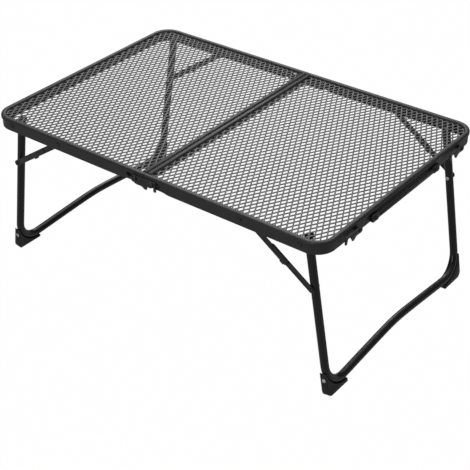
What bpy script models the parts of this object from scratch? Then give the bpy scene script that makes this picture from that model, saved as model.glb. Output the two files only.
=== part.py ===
"""Folding camp table with a mesh top: two framed halves that fold on double
pivots, two U-shaped leg frames on folding braces, hook locks, transport
hooks and a carry handle.

Metres, +Z up, floor at z = 0. X runs along the length, the front long side
is at -Y. The table stands open, with every joint at rest.
"""
import math

import bmesh
import bpy
from mathutils import Matrix, Vector

# Overall size
LENGTH = 0.600
DEPTH = 0.400
HEIGHT = 0.2545
CORNER_R = 0.030

# Clearances: between seated faces, and between faces that pass each other
GAP = 0.0003
FREE_GAP = 0.0005

# Frame section: a rounded rim, a thin wall under it and an inward flange
RIM_W = 0.008
RIM_T = 0.006
RIM_SHOULDER_U = 0.0025
RIM_SHOULDER_Z = 0.003
RIM_EDGE = 0.001
RIM_OVERHANG = 0.0015
WALL_T = 0.0015
RAIL_H = 0.020
FLANGE_W = 0.003
FLANGE_T = 0.0012
BAR_H = 0.0165

# Mesh panel, coarser than the real one: the looks carry the fine pattern
MESH_DROP = 0.0025
MESH_T = 0.0015
MESH_BAND = 0.004
MESH_STRAND = 0.003
MESH_COLUMNS = 8
MESH_ROWS = 5
MESH_LEAST_AREA = 0.00004

# Legs: one bent tube for each end, splayed outward
TUBE_R = 0.006
LEG_INSET_X = 0.0375
LEG_INSET_Y = 0.023
LEG_DROP = 0.0105
LEG_SPLAY = math.radians(9.35)
LEG_FOLD = math.radians(99)
BEND_R = 0.037
BAR_FLOOR_Z = 0.011
BAR_RISE = 0.010
TUBE_END = 0.0055

# Feet: a shoe on the outside of each bend
FOOT_T = 0.011
FOOT_START = 0.0098
FOOT_RUN = 0.004
FOOT_CORNER_R = 0.010

# Braces: an upper link on the frame, a lower link on the leg
BRACE_SPAN = 0.0965
BRACE_DROP = 0.010
BRACE_ON_LEG = 0.0749
BRACE_DIP = math.radians(2)
BRACE_STANDOFF = 0.0016
LINK_HALF_W = 0.0045
LINK_T = 0.0015
LINK_TAIL = 0.0265
TAB_L = 0.007
TAB_T = 0.0015

# Fold joint in the middle: a link with a pin in each half
FOLD_PIN_X = 0.0095
FOLD_PIN_DROP = 0.015
FOLD_LINK_T = 0.0016
FOLD_LINK_R = 0.0045
BRACKET_INSET = 0.0065
BRACKET_T = 0.002
BRACKET_L = 0.046
BRACKET_STEP_X = 0.034
BRACKET_BEND_R = 0.0008
OPENING_X = 0.032
OPENING_R = 0.005

# Hooks: lock levers and transport hooks are alike, the second ones slimmer
LOCK_SHAPE = {"reach": 0.030, "bottom": 0.0085, "blade": 0.0141, "run": 0.0045,
              "lobe": 0.0115, "prong": 0.010}
HOOK_SHAPE = {"reach": 0.025, "bottom": 0.0045, "blade": 0.0090, "run": 0.0055,
              "lobe": 0.0085, "prong": 0.0065}
HOOK_T = 0.002
HOOK_TOP = 0.005
HOOK_NECK = 0.004
HOOK_FLARE = 0.0044
HOOK_ROOF_CUT = 0.0004
HOOK_THROAT = 0.0019
HOOK_THROAT_DEPTH = 0.0034
HOOK_PRONG_W = 0.0042
HOOK_BACK_R = 0.0045
HOOK_FRONT_R = 0.0035
HOOK_SOFT_R = 0.003
HOOK_ROOF_R = 0.0026
HOOK_EDGE_R = 0.0009
LOCK_DROP = 0.010
HOOK_DROP = 0.012
HOOK_STANDOFF = 0.003
HOOK_INSET = {"front": 0.079, "rear": 0.052}

# Carry handle
HANDLE_L = 0.1755
HANDLE_DROP = 0.0145
HANDLE_H = 0.0084
HANDLE_T = 0.0016
HANDLE_RELIEF = 0.0003
HANDLE_CAP_L = 0.016
HANDLE_CAP_H = 0.0110
HANDLE_CAP_T = 0.0042
HANDLE_CAP_R = 0.0025
HANDLE_SEAT = 0.004

# Pins, heads and the holes that they run in
PIN_R = 0.002
LEG_PIN_R = 0.0025
HUB_R = 0.0026
STUD_R = 0.0028
COLLAR_R = 0.0034
HEAD_R = 0.0036
SMALL_HEAD_R = 0.0032
LEG_COLLAR_R = 0.0040
STUD_HEAD_R = 0.0052
HANDLE_HEAD_R = 0.0038
DRILL_L = 2 * (WALL_T + BRACKET_T)
TAIL_T = 0.0010
HEAD_T = 0.0014
BIG_HEAD_T = 0.0025

# Planes across the table, from the leg tube outward to the wall
LEG_X = LENGTH / 2 - LEG_INSET_X
LEG_Z = HEIGHT - LEG_DROP
LEG_Y = DEPTH / 2 - LEG_INSET_Y
TUBE_IN = LEG_Y - TUBE_R
TUBE_OUT = LEG_Y + TUBE_R
LOWER_IN = TUBE_OUT + BRACE_STANDOFF
LOWER_OUT = LOWER_IN + LINK_T
UPPER_IN = LOWER_OUT + GAP
UPPER_OUT = UPPER_IN + LINK_T
WALL_OUT_Y = DEPTH / 2 - RIM_OVERHANG
WALL_IN_Y = WALL_OUT_Y - WALL_T
WALL_OUT_X = LENGTH / 2 - RIM_OVERHANG
WALL_IN_X = WALL_OUT_X - WALL_T
BRACKET_IN = WALL_IN_Y - BRACKET_INSET
BRACKET_OUT = BRACKET_IN + BRACKET_T
FOLD_LINK_IN = BRACKET_OUT + GAP
FOLD_LINK_OUT = FOLD_LINK_IN + FOLD_LINK_T
LOCK_IN = DEPTH / 2 + FREE_GAP
LOCK_OUT = LOCK_IN + HOOK_T
HOOK_IN = LENGTH / 2 + HOOK_STANDOFF
HOOK_OUT = HOOK_IN + HOOK_T

FLOOR_S = LEG_Z / math.cos(LEG_SPLAY)
BRACE_X = LEG_X - BRACE_SPAN
BRACE_Z = HEIGHT - BRACE_DROP
FOLD_PIN_Z = HEIGHT - FOLD_PIN_DROP
LOCK_X = LOCK_SHAPE["reach"] / 2
LOCK_Z = HEIGHT - LOCK_DROP
HOOK_Z = HEIGHT - HOOK_DROP
HOOK_Y = {"front": HOOK_INSET["front"] - DEPTH / 2,
          "rear": DEPTH / 2 - HOOK_INSET["rear"]}
HANDLE_Z = HEIGHT - HANDLE_DROP

X_AXIS = Vector((1, 0, 0))
Y_AXIS = Vector((0, 1, 0))
Z_AXIS = Vector((0, 0, 1))
SIDES = (("left", -1), ("right", 1))
ENDS = (("front", -1), ("rear", 1))

# Colour, roughness and metallic of each material
FINISHES = {
    "frame_black": ((0.030, 0.030, 0.032), 0.42, 0.35),
    "mesh_black": ((0.038, 0.038, 0.040), 0.50, 0.30),
    "leg_black": ((0.034, 0.034, 0.036), 0.45, 0.30),
    "brace_black": ((0.032, 0.032, 0.034), 0.40, 0.40),
    "foot_black": ((0.022, 0.022, 0.023), 0.62, 0.0),
    "lock_steel": ((0.045, 0.045, 0.047), 0.35, 0.60),
    "handle_grey": ((0.060, 0.060, 0.062), 0.45, 0.20),
    "rivet_zinc": ((0.480, 0.480, 0.490), 0.30, 0.90),
    "rivet_black": ((0.040, 0.040, 0.042), 0.38, 0.50),
}


def clear_scene():
    for obj in list(bpy.data.objects):
        bpy.data.objects.remove(obj, do_unlink=True)


def new_collection(name):
    collection = bpy.data.collections.new(name)
    bpy.context.scene.collection.children.link(collection)
    return collection


def make_material(name):
    colour, roughness, metallic = FINISHES[name]
    material = bpy.data.materials.new(name)
    material.use_nodes = True
    shader = material.node_tree.nodes["Principled BSDF"]
    shader.inputs["Base Color"].default_value = (*colour, 1.0)
    shader.inputs["Roughness"].default_value = roughness
    shader.inputs["Metallic"].default_value = metallic
    material.diffuse_color = (*colour, 1.0)
    return material


def frame(origin, u, v):
    """World matrix of a local frame with u and v as its first two axes."""
    matrix = Matrix((u, v, u.cross(v))).transposed().to_4x4()
    matrix.translation = origin
    return matrix


def along(point, direction):
    """World matrix whose local Z runs along a level direction."""
    return frame(point, Z_AXIS, direction.cross(Z_AXIS))


def arc(centre, radius, start, end, steps):
    """Points of an arc, from one angle in degrees to another."""
    points = []
    for i in range(steps + 1):
        angle = math.radians(start + (end - start) * i / steps)
        points.append((centre[0] + radius * math.cos(angle),
                       centre[1] + radius * math.sin(angle)))
    return points


def rounded(corners, steps=3):
    """Outline through corners (u, v, radius), each turned as an arc."""
    points = []
    for i, (u, v, radius) in enumerate(corners):
        corner = Vector((u, v))
        if radius <= 0:
            points.append((u, v))
            continue
        before = (Vector(corners[i - 1][:2]) - corner).normalized()
        after = (Vector(corners[(i + 1) % len(corners)][:2]) - corner).normalized()
        half = before.angle(after) / 2
        centre = corner + (before + after).normalized() * (radius / math.sin(half))
        start = corner + before * (radius / math.tan(half)) - centre
        end = corner + after * (radius / math.tan(half)) - centre
        first = math.atan2(start.y, start.x)
        turn = math.atan2(end.y, end.x) - first
        turn = (turn + math.pi) % (2 * math.pi) - math.pi
        points += arc(centre, radius, math.degrees(first),
                      math.degrees(first + turn), steps)
    return points


def stadium(u0, u1, radius, steps=8):
    """Outline of a strap with round ends."""
    return (arc((u1, 0), radius, -90, 90, steps)
            + arc((u0, 0), radius, 90, 270, steps))


def hole(u, v, radius, steps=12):
    return arc((u, v), radius, 0, 360, steps)[:-1]


def finish_mesh(bm, name):
    """Merges doubled points, turns the faces outward and makes the mesh."""
    bmesh.ops.remove_doubles(bm, verts=bm.verts, dist=0.00002)
    bmesh.ops.recalc_face_normals(bm, faces=bm.faces)
    mesh = bpy.data.meshes.new(name)
    bm.to_mesh(mesh)
    bm.free()
    return mesh


def curve_mesh(name, curve):
    """Makes a curve a closed mesh, its caps welded, and drops the curve."""
    holder = bpy.data.objects.new(name, curve)
    bm = bmesh.new()
    bm.from_mesh(holder.to_mesh())
    holder.to_mesh_clear()
    bpy.data.objects.remove(holder, do_unlink=True)
    bpy.data.curves.remove(curve)
    return finish_mesh(bm, name)


def plate_mesh(name, outline, holes, thickness):
    """A flat plate about z = 0, from a filled and extruded 2D curve."""
    curve = bpy.data.curves.new(name, "CURVE")
    curve.dimensions = "2D"
    curve.fill_mode = "BOTH"
    curve.extrude = thickness / 2
    for ring in [outline] + list(holes):
        spline = curve.splines.new("POLY")
        spline.points.add(len(ring) - 1)
        for point, (u, v) in zip(spline.points, ring):
            point.co = (u, v, 0, 1)
        spline.use_cyclic_u = True
    return curve_mesh(name, curve)


def tube_mesh(name, points, radius):
    """A bevelled curve through (u, v, factor), its ends filled."""
    curve = bpy.data.curves.new(name, "CURVE")
    curve.dimensions = "3D"
    curve.twist_mode = "MINIMUM"
    curve.bevel_depth = radius
    curve.bevel_resolution = 3
    curve.use_fill_caps = True
    spline = curve.splines.new("POLY")
    spline.points.add(len(points) - 1)
    for point, (u, v, factor) in zip(spline.points, points):
        point.co = (u, v, 0, 1)
        point.radius = factor
    return curve_mesh(name, curve)


def turned_mesh(name, profile, base, steps=10):
    """A profile of (radius, distance) spun about local Z."""
    bm = bmesh.new()
    ends = [(0.0, profile[0][1])] + list(profile) + [(0.0, profile[-1][1])]
    points = [bm.verts.new((radius, 0, away - base)) for radius, away in ends]
    edges = [bm.edges.new(pair) for pair in zip(points, points[1:])]
    bmesh.ops.spin(bm, geom=points + edges, cent=(0, 0, 0), axis=(0, 0, 1),
                   angle=2 * math.pi, steps=steps, use_merge=True)
    return finish_mesh(bm, name)


def loft_mesh(name, sections):
    """A closed skin over sections of equal length, capped at both ends."""
    bm = bmesh.new()
    rings = [[bm.verts.new(point) for point in ring] for ring in sections]
    for near, far in zip(rings, rings[1:]):
        for i in range(len(near)):
            bm.faces.new((near[i - 1], near[i], far[i], far[i - 1]))
    bm.faces.new(rings[0])
    bm.faces.new(rings[-1])
    return finish_mesh(bm, name)


def box_mesh(name, low, high):
    bm = bmesh.new()
    low = Vector(low)
    high = Vector(high)
    matrix = Matrix.Translation((low + high) / 2) @ Matrix.Diagonal((*(high - low), 1))
    bmesh.ops.create_cube(bm, size=1, matrix=matrix)
    return finish_mesh(bm, name)


def drill(radius, point, direction, middle, depth=DRILL_L):
    """A cutter for a round hole, centred at a distance along its axis."""
    bm = bmesh.new()
    bmesh.ops.create_cone(bm, cap_ends=True, segments=12, radius1=radius,
                          radius2=radius, depth=depth,
                          matrix=Matrix.Translation((0, 0, middle)))
    return finish_mesh(bm, "drill"), along(point, direction)


def head(radius, near, depth):
    """Profile of a pan head: flat underneath, its outer edge domed."""
    return [(radius, near), (radius, near + depth * 0.5),
            (radius * 0.65, near + depth)]


def tail(radius, far):
    """Profile of a small closed head that ends flat at a distance."""
    return [(radius, far - TAIL_T), (radius, far)]


def steps_of(*stretches):
    """Profile of straight stretches, each (radius, start, end)."""
    points = []
    for radius, near, far in stretches:
        points += [(radius, near), (radius, far)]
    return points


class Builder:
    """Puts finished pieces into the scene, each under its body's empty."""

    def __init__(self):
        self.parts = new_collection("camp_table")
        self.cutters = new_collection("cutters")
        self.materials = {name: make_material(name) for name in FINISHES}
        self.bodies = {}

    def body(self, name, origin):
        empty = bpy.data.objects.new(name, None)
        empty.empty_display_size = 0.02
        empty.location = origin
        self.parts.objects.link(empty)
        self.bodies[name] = empty

    def add(self, name, mesh, material, body, place, smooth=False):
        obj = bpy.data.objects.new(name, mesh)
        empty = self.bodies[body]
        obj.parent = empty
        obj.matrix_basis = Matrix.Translation(-empty.location) @ place
        mesh.materials.append(self.materials[material])
        if smooth:
            mesh.shade_smooth()
            mesh.set_sharp_from_angle(angle=math.radians(38))
        self.parts.objects.link(obj)
        return obj

    def add_turned(self, name, profile, material, body, point, direction, base):
        """A rivet, pin or stud, its origin at a distance along its axis."""
        place = along(point + direction * base, direction)
        mesh = turned_mesh("turned", profile, base)
        return self.add(name, mesh, material, body, place, smooth=True)

    def cut(self, obj, name, tools, operation="DIFFERENCE"):
        """Adds an exact Boolean. Each tool is a mesh with its world matrix."""
        bm = bmesh.new()
        for mesh, matrix in tools:
            mesh.transform(matrix)
            bm.from_mesh(mesh)
        cutter = bpy.data.objects.new(name, finish_mesh(bm, name))
        cutter.hide_render = True
        cutter.display_type = "WIRE"
        self.cutters.objects.link(cutter)
        modifier = obj.modifiers.new(name, "BOOLEAN")
        modifier.operation = operation
        modifier.solver = "EXACT"
        modifier.object = cutter


def rim_profile():
    """Rounded top of the frame as (inward, height), outer side first."""
    slope = math.sqrt(0.5)
    soft_u = RIM_SHOULDER_U * (1 - slope)
    soft_z = -RIM_SHOULDER_Z * (1 - slope)
    return [
        (0, -RIM_SHOULDER_Z), (soft_u, soft_z), (RIM_SHOULDER_U, 0),
        (RIM_W - RIM_SHOULDER_U, 0), (RIM_W - soft_u, soft_z),
        (RIM_W, -RIM_SHOULDER_Z), (RIM_W, -RIM_T + RIM_EDGE),
        (RIM_W - RIM_EDGE, -RIM_T),
    ]


def rail_profile():
    """Section of the outer frame as (inward, height)."""
    wall_in = RIM_OVERHANG + WALL_T
    return rim_profile() + [
        (wall_in, -RIM_T), (wall_in, -RAIL_H + FLANGE_T),
        (wall_in + FLANGE_W, -RAIL_H + FLANGE_T), (wall_in + FLANGE_W, -RAIL_H),
        (RIM_OVERHANG, -RAIL_H), (RIM_OVERHANG, -RIM_T),
        (0, -RIM_T + RIM_EDGE),
    ]


def rail_stations(side):
    """Outer line of one half, as points with their inward directions."""
    stations = [(Vector((GAP, -DEPTH / 2, 0)), Y_AXIS)]
    for sign, start in ((-1, -90), (1, 0)):
        centre = (LENGTH / 2 - CORNER_R, sign * (DEPTH / 2 - CORNER_R))
        for x, y in arc(centre, CORNER_R, start, start + 90, 8):
            inward = Vector((centre[0] - x, centre[1] - y, 0)).normalized()
            stations.append((Vector((x, y, 0)), inward))
    stations.append((Vector((GAP, DEPTH / 2, 0)), -Y_AXIS))
    mirror = Matrix.Diagonal((side, 1, 1))
    return [(mirror @ point, mirror @ inward) for point, inward in stations]


def opening_tool(side, end):
    """Cutter for the opening in the frame's wall around the fold joint."""
    low = -RAIL_H - FREE_GAP
    high = -RIM_T - GAP
    corners = [(-FREE_GAP, low, 0), (OPENING_X, low, 0),
               (OPENING_X, high, OPENING_R), (-FREE_GAP, high, 0)]
    depth = WALL_T + FLANGE_W + 2 * FREE_GAP
    middle = end * (WALL_OUT_Y + FREE_GAP - depth / 2)
    mesh = plate_mesh("opening", rounded(corners), [], depth)
    return mesh, frame(Vector((0, middle, HEIGHT)), side * X_AXIS, Z_AXIS)


def add_rail(build, side_name, side):
    sections = []
    for point, inward in rail_stations(side):
        sections.append([point + inward * u + Z_AXIS * z for u, z in rail_profile()])
    rail = build.add(f"rail_{side_name}", loft_mesh("rail", sections), "frame_black",
                     f"{side_name}_half", Matrix.Translation((0, 0, HEIGHT)), smooth=True)
    tools = []
    for _, end in ENDS:
        outward = end * Y_AXIS
        leg_pin = Vector((side * LEG_X, 0, LEG_Z))
        brace_pin = Vector((side * BRACE_X, 0, BRACE_Z))
        tools.append(opening_tool(side, end))
        tools.append(drill(LEG_PIN_R + GAP, leg_pin, outward, WALL_OUT_Y))
        tools.append(drill(PIN_R + GAP, brace_pin, outward, WALL_OUT_Y))
    across = side * X_AXIS
    for end_name, end in ENDS:
        hook_pin = Vector((0, HOOK_Y[end_name], HOOK_Z))
        tools.append(drill(PIN_R + GAP, hook_pin, across, WALL_OUT_X))
        if side > 0:
            handle_pin = Vector((0, handle_rivet_y(end), HANDLE_Z))
            tools.append(drill(PIN_R + GAP, handle_pin, across, WALL_OUT_X))
    build.cut(rail, f"cut_rail_{side_name}", tools)


def add_bar(build, side_name, side):
    """Bar that closes the half in the middle of the table."""
    outline = [(GAP + u, z) for u, z in rim_profile()]
    outline += [(GAP + WALL_T, -RIM_T), (GAP + WALL_T, -BAR_H), (GAP, -BAR_H)]
    length = DEPTH - 2 * (RIM_W + FREE_GAP)
    mesh = plate_mesh("bar", outline, [], length)
    place = frame(Vector((0, 0, HEIGHT)), side * X_AXIS, Z_AXIS)
    build.add(f"bar_{side_name}", mesh, "frame_black", f"{side_name}_half", place)


def clip(polygon, border):
    """The part of a convex polygon that lies inside a convex border."""
    for i, start in enumerate(border):
        end = border[(i + 1) % len(border)]
        edge = (end[0] - start[0], end[1] - start[1])
        kept = []
        for j, point in enumerate(polygon):
            last = polygon[j - 1]
            now = edge[0] * (point[1] - start[1]) - edge[1] * (point[0] - start[0])
            old = edge[0] * (last[1] - start[1]) - edge[1] * (last[0] - start[0])
            if (now >= 0) != (old >= 0):
                t = old / (old - now)
                kept.append((last[0] + (point[0] - last[0]) * t,
                             last[1] + (point[1] - last[1]) * t))
            if now >= 0:
                kept.append(point)
        polygon = kept
        if not polygon:
            break
    return polygon


def area(polygon):
    total = 0.0
    for i, point in enumerate(polygon):
        last = polygon[i - 1]
        total += last[0] * point[1] - point[0] * last[1]
    return total / 2


def panel_outline(inset):
    """Outline of the mesh panel, its edge moved inward by an amount."""
    x0 = RIM_W + 2 * GAP + inset
    x1 = LENGTH / 2 - RIM_W - GAP - inset
    y1 = DEPTH / 2 - RIM_W - GAP - inset
    radius = CORNER_R - RIM_W - GAP - inset
    corners = [(x0, -y1, 0), (x1, -y1, radius), (x1, y1, radius), (x0, y1, 0)]
    return rounded(corners, 6)


def panel_holes():
    """Diamond gaps between crossing strands, trimmed by the panel's band."""
    border = panel_outline(MESH_BAND)
    x0 = min(x for x, _ in border)
    x1 = max(x for x, _ in border)
    y1 = max(y for _, y in border)
    step_x = (x1 - x0) / MESH_COLUMNS
    step_y = 2 * y1 / MESH_ROWS
    reach = 1 / math.hypot(2 / step_x, 2 / step_y)
    scale = (reach - MESH_STRAND / 2) / reach
    half_x = step_x / 2 * scale
    half_y = step_y / 2 * scale
    holes = []
    for i in range(2 * MESH_COLUMNS + 1):
        for j in range(i % 2, 2 * MESH_ROWS + 1, 2):
            x = x0 + i * step_x / 2
            y = -y1 + j * step_y / 2
            diamond = [(x + half_x, y), (x, y + half_y),
                       (x - half_x, y), (x, y - half_y)]
            gap = clip(diamond, border)
            if len(gap) > 2 and area(gap) > MESH_LEAST_AREA:
                holes.append(gap)
    return holes


def add_panel(build, side_name, side):
    mesh = plate_mesh("panel", panel_outline(0), panel_holes(), MESH_T)
    turn = 0 if side > 0 else math.pi
    place = Matrix.Translation((0, 0, HEIGHT - MESH_DROP - MESH_T / 2))
    place = place @ Matrix.Rotation(turn, 4, "Z")
    build.add(f"mesh_{side_name}", mesh, "mesh_black", f"{side_name}_half", place)


def leg_frame(side, end=1):
    """Leg plane: u across the table, v down along the leg from its pivot."""
    down = Vector((side * math.sin(LEG_SPLAY), 0, -math.cos(LEG_SPLAY)))
    return frame(Vector((side * LEG_X, 0, LEG_Z)), end * Y_AXIS, down)


def leg_bend():
    """Centre of the tube's bend as (distance from the middle, down the leg)."""
    bar_s = (LEG_Z - BAR_FLOOR_Z) / math.cos(LEG_SPLAY)
    return LEG_Y - BEND_R, bar_s - BEND_R


def leg_path():
    """Half of the tube's line, with a thickness factor for each point."""
    bend_y, bend_s = leg_bend()
    points = [(LEG_Y, -TUBE_END, 0.50), (LEG_Y, -0.65 * TUBE_END, 0.84),
              (LEG_Y, -0.2 * TUBE_END, 1)]
    points += [(y, s, 1) for y, s in arc((bend_y, bend_s), BEND_R, 0, 90, 12)]
    rises = 6
    for i in range(1, rises + 1):
        y = bend_y * (1 - i / rises)
        lift = BAR_RISE * math.cos(math.pi / 2 * y / bend_y) ** 2
        points.append((y, bend_s + BEND_R - lift / math.cos(LEG_SPLAY), 1))
    return points


def add_leg(build, side_name, side):
    half = leg_path()
    path = half + [(-y, s, factor) for y, s, factor in reversed(half[:-1])]
    leg = build.add(f"leg_{side_name}", tube_mesh("leg", path, TUBE_R), "leg_black",
                    f"leg_frame_{side_name}", leg_frame(side), smooth=True)
    pivot = Vector((side * LEG_X, 0, LEG_Z))
    tools = [drill(LEG_PIN_R + GAP, pivot, end * Y_AXIS, LEG_Y, 3 * TUBE_R)
             for _, end in ENDS]
    build.cut(leg, f"cut_leg_{side_name}", tools)


def foot_outline():
    """Shoe in the leg plane: hollow over the bend, round at the corner."""
    bend_y, bend_s = leg_bend()
    outer = TUBE_OUT + GAP
    inner_r = BEND_R + TUBE_R + GAP
    start = math.asin(FOOT_START / inner_r)
    sole = FLOOR_S + FOOT_T / 2 * math.tan(LEG_SPLAY) + GAP
    corner = (outer - FOOT_CORNER_R, sole - FOOT_CORNER_R)
    outline = [(outer, bend_s + FOOT_START)]
    outline += arc(corner, FOOT_CORNER_R, 0, 90, 5)
    outline += [(bend_y - FOOT_RUN, sole), (bend_y - FOOT_RUN, bend_s + inner_r)]
    outline += arc((bend_y, bend_s), inner_r, 90, math.degrees(start), 12)
    return outline


def add_feet(build, side_name, side):
    floor_x = side * (LEG_X + LEG_Z * math.tan(LEG_SPLAY))
    for end_name, end in ENDS:
        foot = build.add(f"foot_{side_name}_{end_name}",
                         plate_mesh("foot", foot_outline(), [], FOOT_T), "foot_black",
                         f"leg_frame_{side_name}", leg_frame(side, end))
        middle = Vector((floor_x, end * (LEG_Y - BEND_R), -BEND_R))
        reach = Vector((BEND_R, 2 * BEND_R, BEND_R))
        floor = box_mesh("floor", middle - reach, middle + reach)
        build.cut(foot, f"cut_foot_{side_name}_{end_name}",
                  [(floor, Matrix.Identity(4))])


def brace_points():
    """Brace pins of the right side as (x, z): frame, knee and leg.

    The upper link's length lets the brace lie straight with the leg open
    and fold back on itself, dipping a little, with the leg folded.
    """
    top = Vector((BRACE_X, BRACE_Z))
    pivot = Vector((LEG_X, LEG_Z))
    open_leg = Vector((math.sin(LEG_SPLAY), -math.cos(LEG_SPLAY)))
    folded = LEG_SPLAY - LEG_FOLD
    folded_leg = Vector((math.sin(folded), -math.cos(folded)))
    foot = pivot + open_leg * BRACE_ON_LEG
    back = top - (pivot + folded_leg * BRACE_ON_LEG)
    dip = Vector((-math.cos(BRACE_DIP), -math.sin(BRACE_DIP)))
    span = (foot - top).length
    upper = (span ** 2 - back.length ** 2) / (2 * (span + back.dot(dip)))
    knee = top + (foot - top).normalized() * upper
    return top, knee, foot


def link_frame(side, point, y):
    """Frame on a brace link: u down along the link, v on its upper side."""
    top, _, foot = brace_points()
    line = (foot - top).normalized()
    u = Vector((side * line.x, 0, line.y))
    v = Vector((-side * line.y, 0, line.x))
    return frame(Vector((side * point.x, y, point.y)), u, v)


def add_upper_link(build, side_name, side, end_name, end):
    top, knee, _ = brace_points()
    label = f"{side_name}_{end_name}"
    span = (knee - top).length
    reach = span + LINK_TAIL
    holes = [hole(0, 0, PIN_R + GAP), hole(span, 0, PIN_R + GAP)]
    mesh = plate_mesh("link", stadium(0, reach, LINK_HALF_W), holes, LINK_T)
    place = link_frame(side, top, end * (UPPER_IN + LINK_T / 2))
    link = build.add(f"brace_upper_{label}", mesh, "brace_black",
                     f"brace_top_{side_name}", place)
    # Stop tab: a lip bent inward under the lower link's edge
    inward = 1 if (place.to_3x3() @ Z_AXIS).y * end < 0 else -1
    edge = -LINK_HALF_W - GAP
    depths = sorted((-inward * LINK_T / 2, inward * (LINK_T * 1.5 + GAP)))
    plate = (-LINK_T / 2, LINK_T / 2)
    lip = box_mesh("lip", (reach - TAB_L, edge - TAB_T, depths[0]),
                   (reach, edge, depths[1]))
    neck = box_mesh("neck", (reach - TAB_L, edge - TAB_T, plate[0]),
                    (reach, 0, plate[1]))
    build.cut(link, f"join_lip_{label}", [(lip, place)], "UNION")
    build.cut(link, f"join_neck_{label}", [(neck, place)], "UNION")


def add_lower_link(build, side_name, side, end_name, end):
    _, knee, foot = brace_points()
    span = (foot - knee).length
    holes = [hole(0, 0, PIN_R + GAP), hole(span, 0, PIN_R + GAP)]
    mesh = plate_mesh("link", stadium(0, span, LINK_HALF_W), holes, LINK_T)
    place = link_frame(side, knee, end * (LOWER_IN + LINK_T / 2))
    build.add(f"brace_lower_{side_name}_{end_name}", mesh, "brace_black",
              f"brace_low_{side_name}", place)


def add_brace_rivets(build, side_name, side, end_name, end):
    """Pins of one brace: fixed to the frame, at the knee and at the leg."""
    label = f"{side_name}_{end_name}"
    outward = end * Y_AXIS
    top, knee, foot = [Vector((side * p.x, 0, p.y)) for p in brace_points()]
    frame_pin = steps_of((PIN_R, UPPER_IN, UPPER_OUT + GAP),
                         (COLLAR_R, UPPER_OUT + GAP, WALL_IN_Y - GAP),
                         (PIN_R, WALL_IN_Y - GAP, WALL_OUT_Y + GAP))
    frame_pin += head(HEAD_R, WALL_OUT_Y + GAP, HEAD_T)
    build.add_turned(f"brace_rivet_top_{label}", frame_pin, "rivet_black",
                     f"{side_name}_half", top, outward, WALL_OUT_Y)
    knee_pin = tail(SMALL_HEAD_R, LOWER_IN - GAP)
    knee_pin += steps_of((PIN_R, LOWER_IN - GAP, UPPER_OUT + GAP))
    knee_pin += head(SMALL_HEAD_R, UPPER_OUT + GAP, TAIL_T)
    build.add_turned(f"brace_rivet_knee_{label}", knee_pin, "rivet_black",
                     f"brace_top_{side_name}", knee, outward, UPPER_IN)
    leg_pin = steps_of((SMALL_HEAD_R, TUBE_OUT + GAP, LOWER_IN - GAP),
                       (PIN_R, LOWER_IN - GAP, LOWER_OUT + GAP))
    leg_pin += head(SMALL_HEAD_R, LOWER_OUT + GAP, TAIL_T)
    build.add_turned(f"brace_rivet_leg_{label}", leg_pin, "rivet_black",
                     f"brace_low_{side_name}", foot, outward, LOWER_IN)


def add_leg_rivet(build, side_name, side, end_name, end):
    """Pin through the wall and the tube, with a collar between them."""
    pin = tail(LEG_COLLAR_R, TUBE_IN - GAP)
    pin += steps_of((LEG_PIN_R, TUBE_IN - GAP, TUBE_OUT + GAP),
                    (LEG_COLLAR_R, TUBE_OUT + GAP, WALL_IN_Y - GAP),
                    (LEG_PIN_R, WALL_IN_Y - GAP, WALL_OUT_Y + GAP))
    pin += head(LEG_COLLAR_R, WALL_OUT_Y + GAP, HEAD_T)
    build.add_turned(f"leg_rivet_{side_name}_{end_name}", pin, "rivet_black",
                     f"{side_name}_half", Vector((side * LEG_X, 0, LEG_Z)),
                     end * Y_AXIS, WALL_OUT_Y)


def add_bracket(build, side_name, side, end_name, end):
    """Joggled strap behind the frame's opening that carries the pins."""
    near = GAP + WALL_T + FREE_GAP
    wall = WALL_IN_Y - GAP
    step = BRACKET_STEP_X
    bend = BRACKET_BEND_R
    corners = [(near, BRACKET_IN, 0), (step, BRACKET_IN, bend),
               (step, wall - BRACKET_T, bend), (BRACKET_L, wall - BRACKET_T, 0),
               (BRACKET_L, wall, 0), (step - BRACKET_T, wall, bend),
               (step - BRACKET_T, BRACKET_OUT, bend), (near, BRACKET_OUT, 0)]
    high = HEIGHT - RIM_T - 2 * FREE_GAP
    low = HEIGHT - RAIL_H + FLANGE_T + GAP
    mesh = plate_mesh("bracket", rounded(corners, 3), [], high - low)
    place = frame(Vector((0, 0, (high + low) / 2)), side * X_AXIS, end * Y_AXIS)
    bracket = build.add(f"bracket_{side_name}_{end_name}", mesh, "frame_black",
                        f"{side_name}_half", place)
    tools = []
    for x, z in ((FOLD_PIN_X, FOLD_PIN_Z), (LOCK_X, LOCK_Z)):
        tools.append(drill(PIN_R + GAP, Vector((side * x, 0, z)), end * Y_AXIS,
                           BRACKET_IN))
    build.cut(bracket, f"cut_bracket_{side_name}_{end_name}", tools)


def add_fold_link(build, end_name, end):
    """Link between the halves, its two pins part of it."""
    mesh = plate_mesh("fold_link", stadium(-FOLD_PIN_X, FOLD_PIN_X, FOLD_LINK_R), [],
                      FOLD_LINK_T)
    middle = FOLD_LINK_IN + FOLD_LINK_T / 2
    place = frame(Vector((0, end * middle, FOLD_PIN_Z)), X_AXIS, Z_AXIS)
    link = build.add(f"fold_link_{end_name}", mesh, "brace_black", "fold_link", place)
    pin = tail(SMALL_HEAD_R, BRACKET_IN - GAP)
    pin += steps_of((PIN_R, BRACKET_IN - GAP, middle))
    pin += head(COLLAR_R, middle, FOLD_LINK_T / 2 + HEAD_T)
    tools = []
    for _, side in SIDES:
        point = Vector((side * FOLD_PIN_X, 0, FOLD_PIN_Z))
        tools.append((turned_mesh("pin", pin, 0.0), along(point, end * Y_AXIS)))
    build.cut(link, f"join_fold_pins_{end_name}", tools, "UNION")


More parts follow.
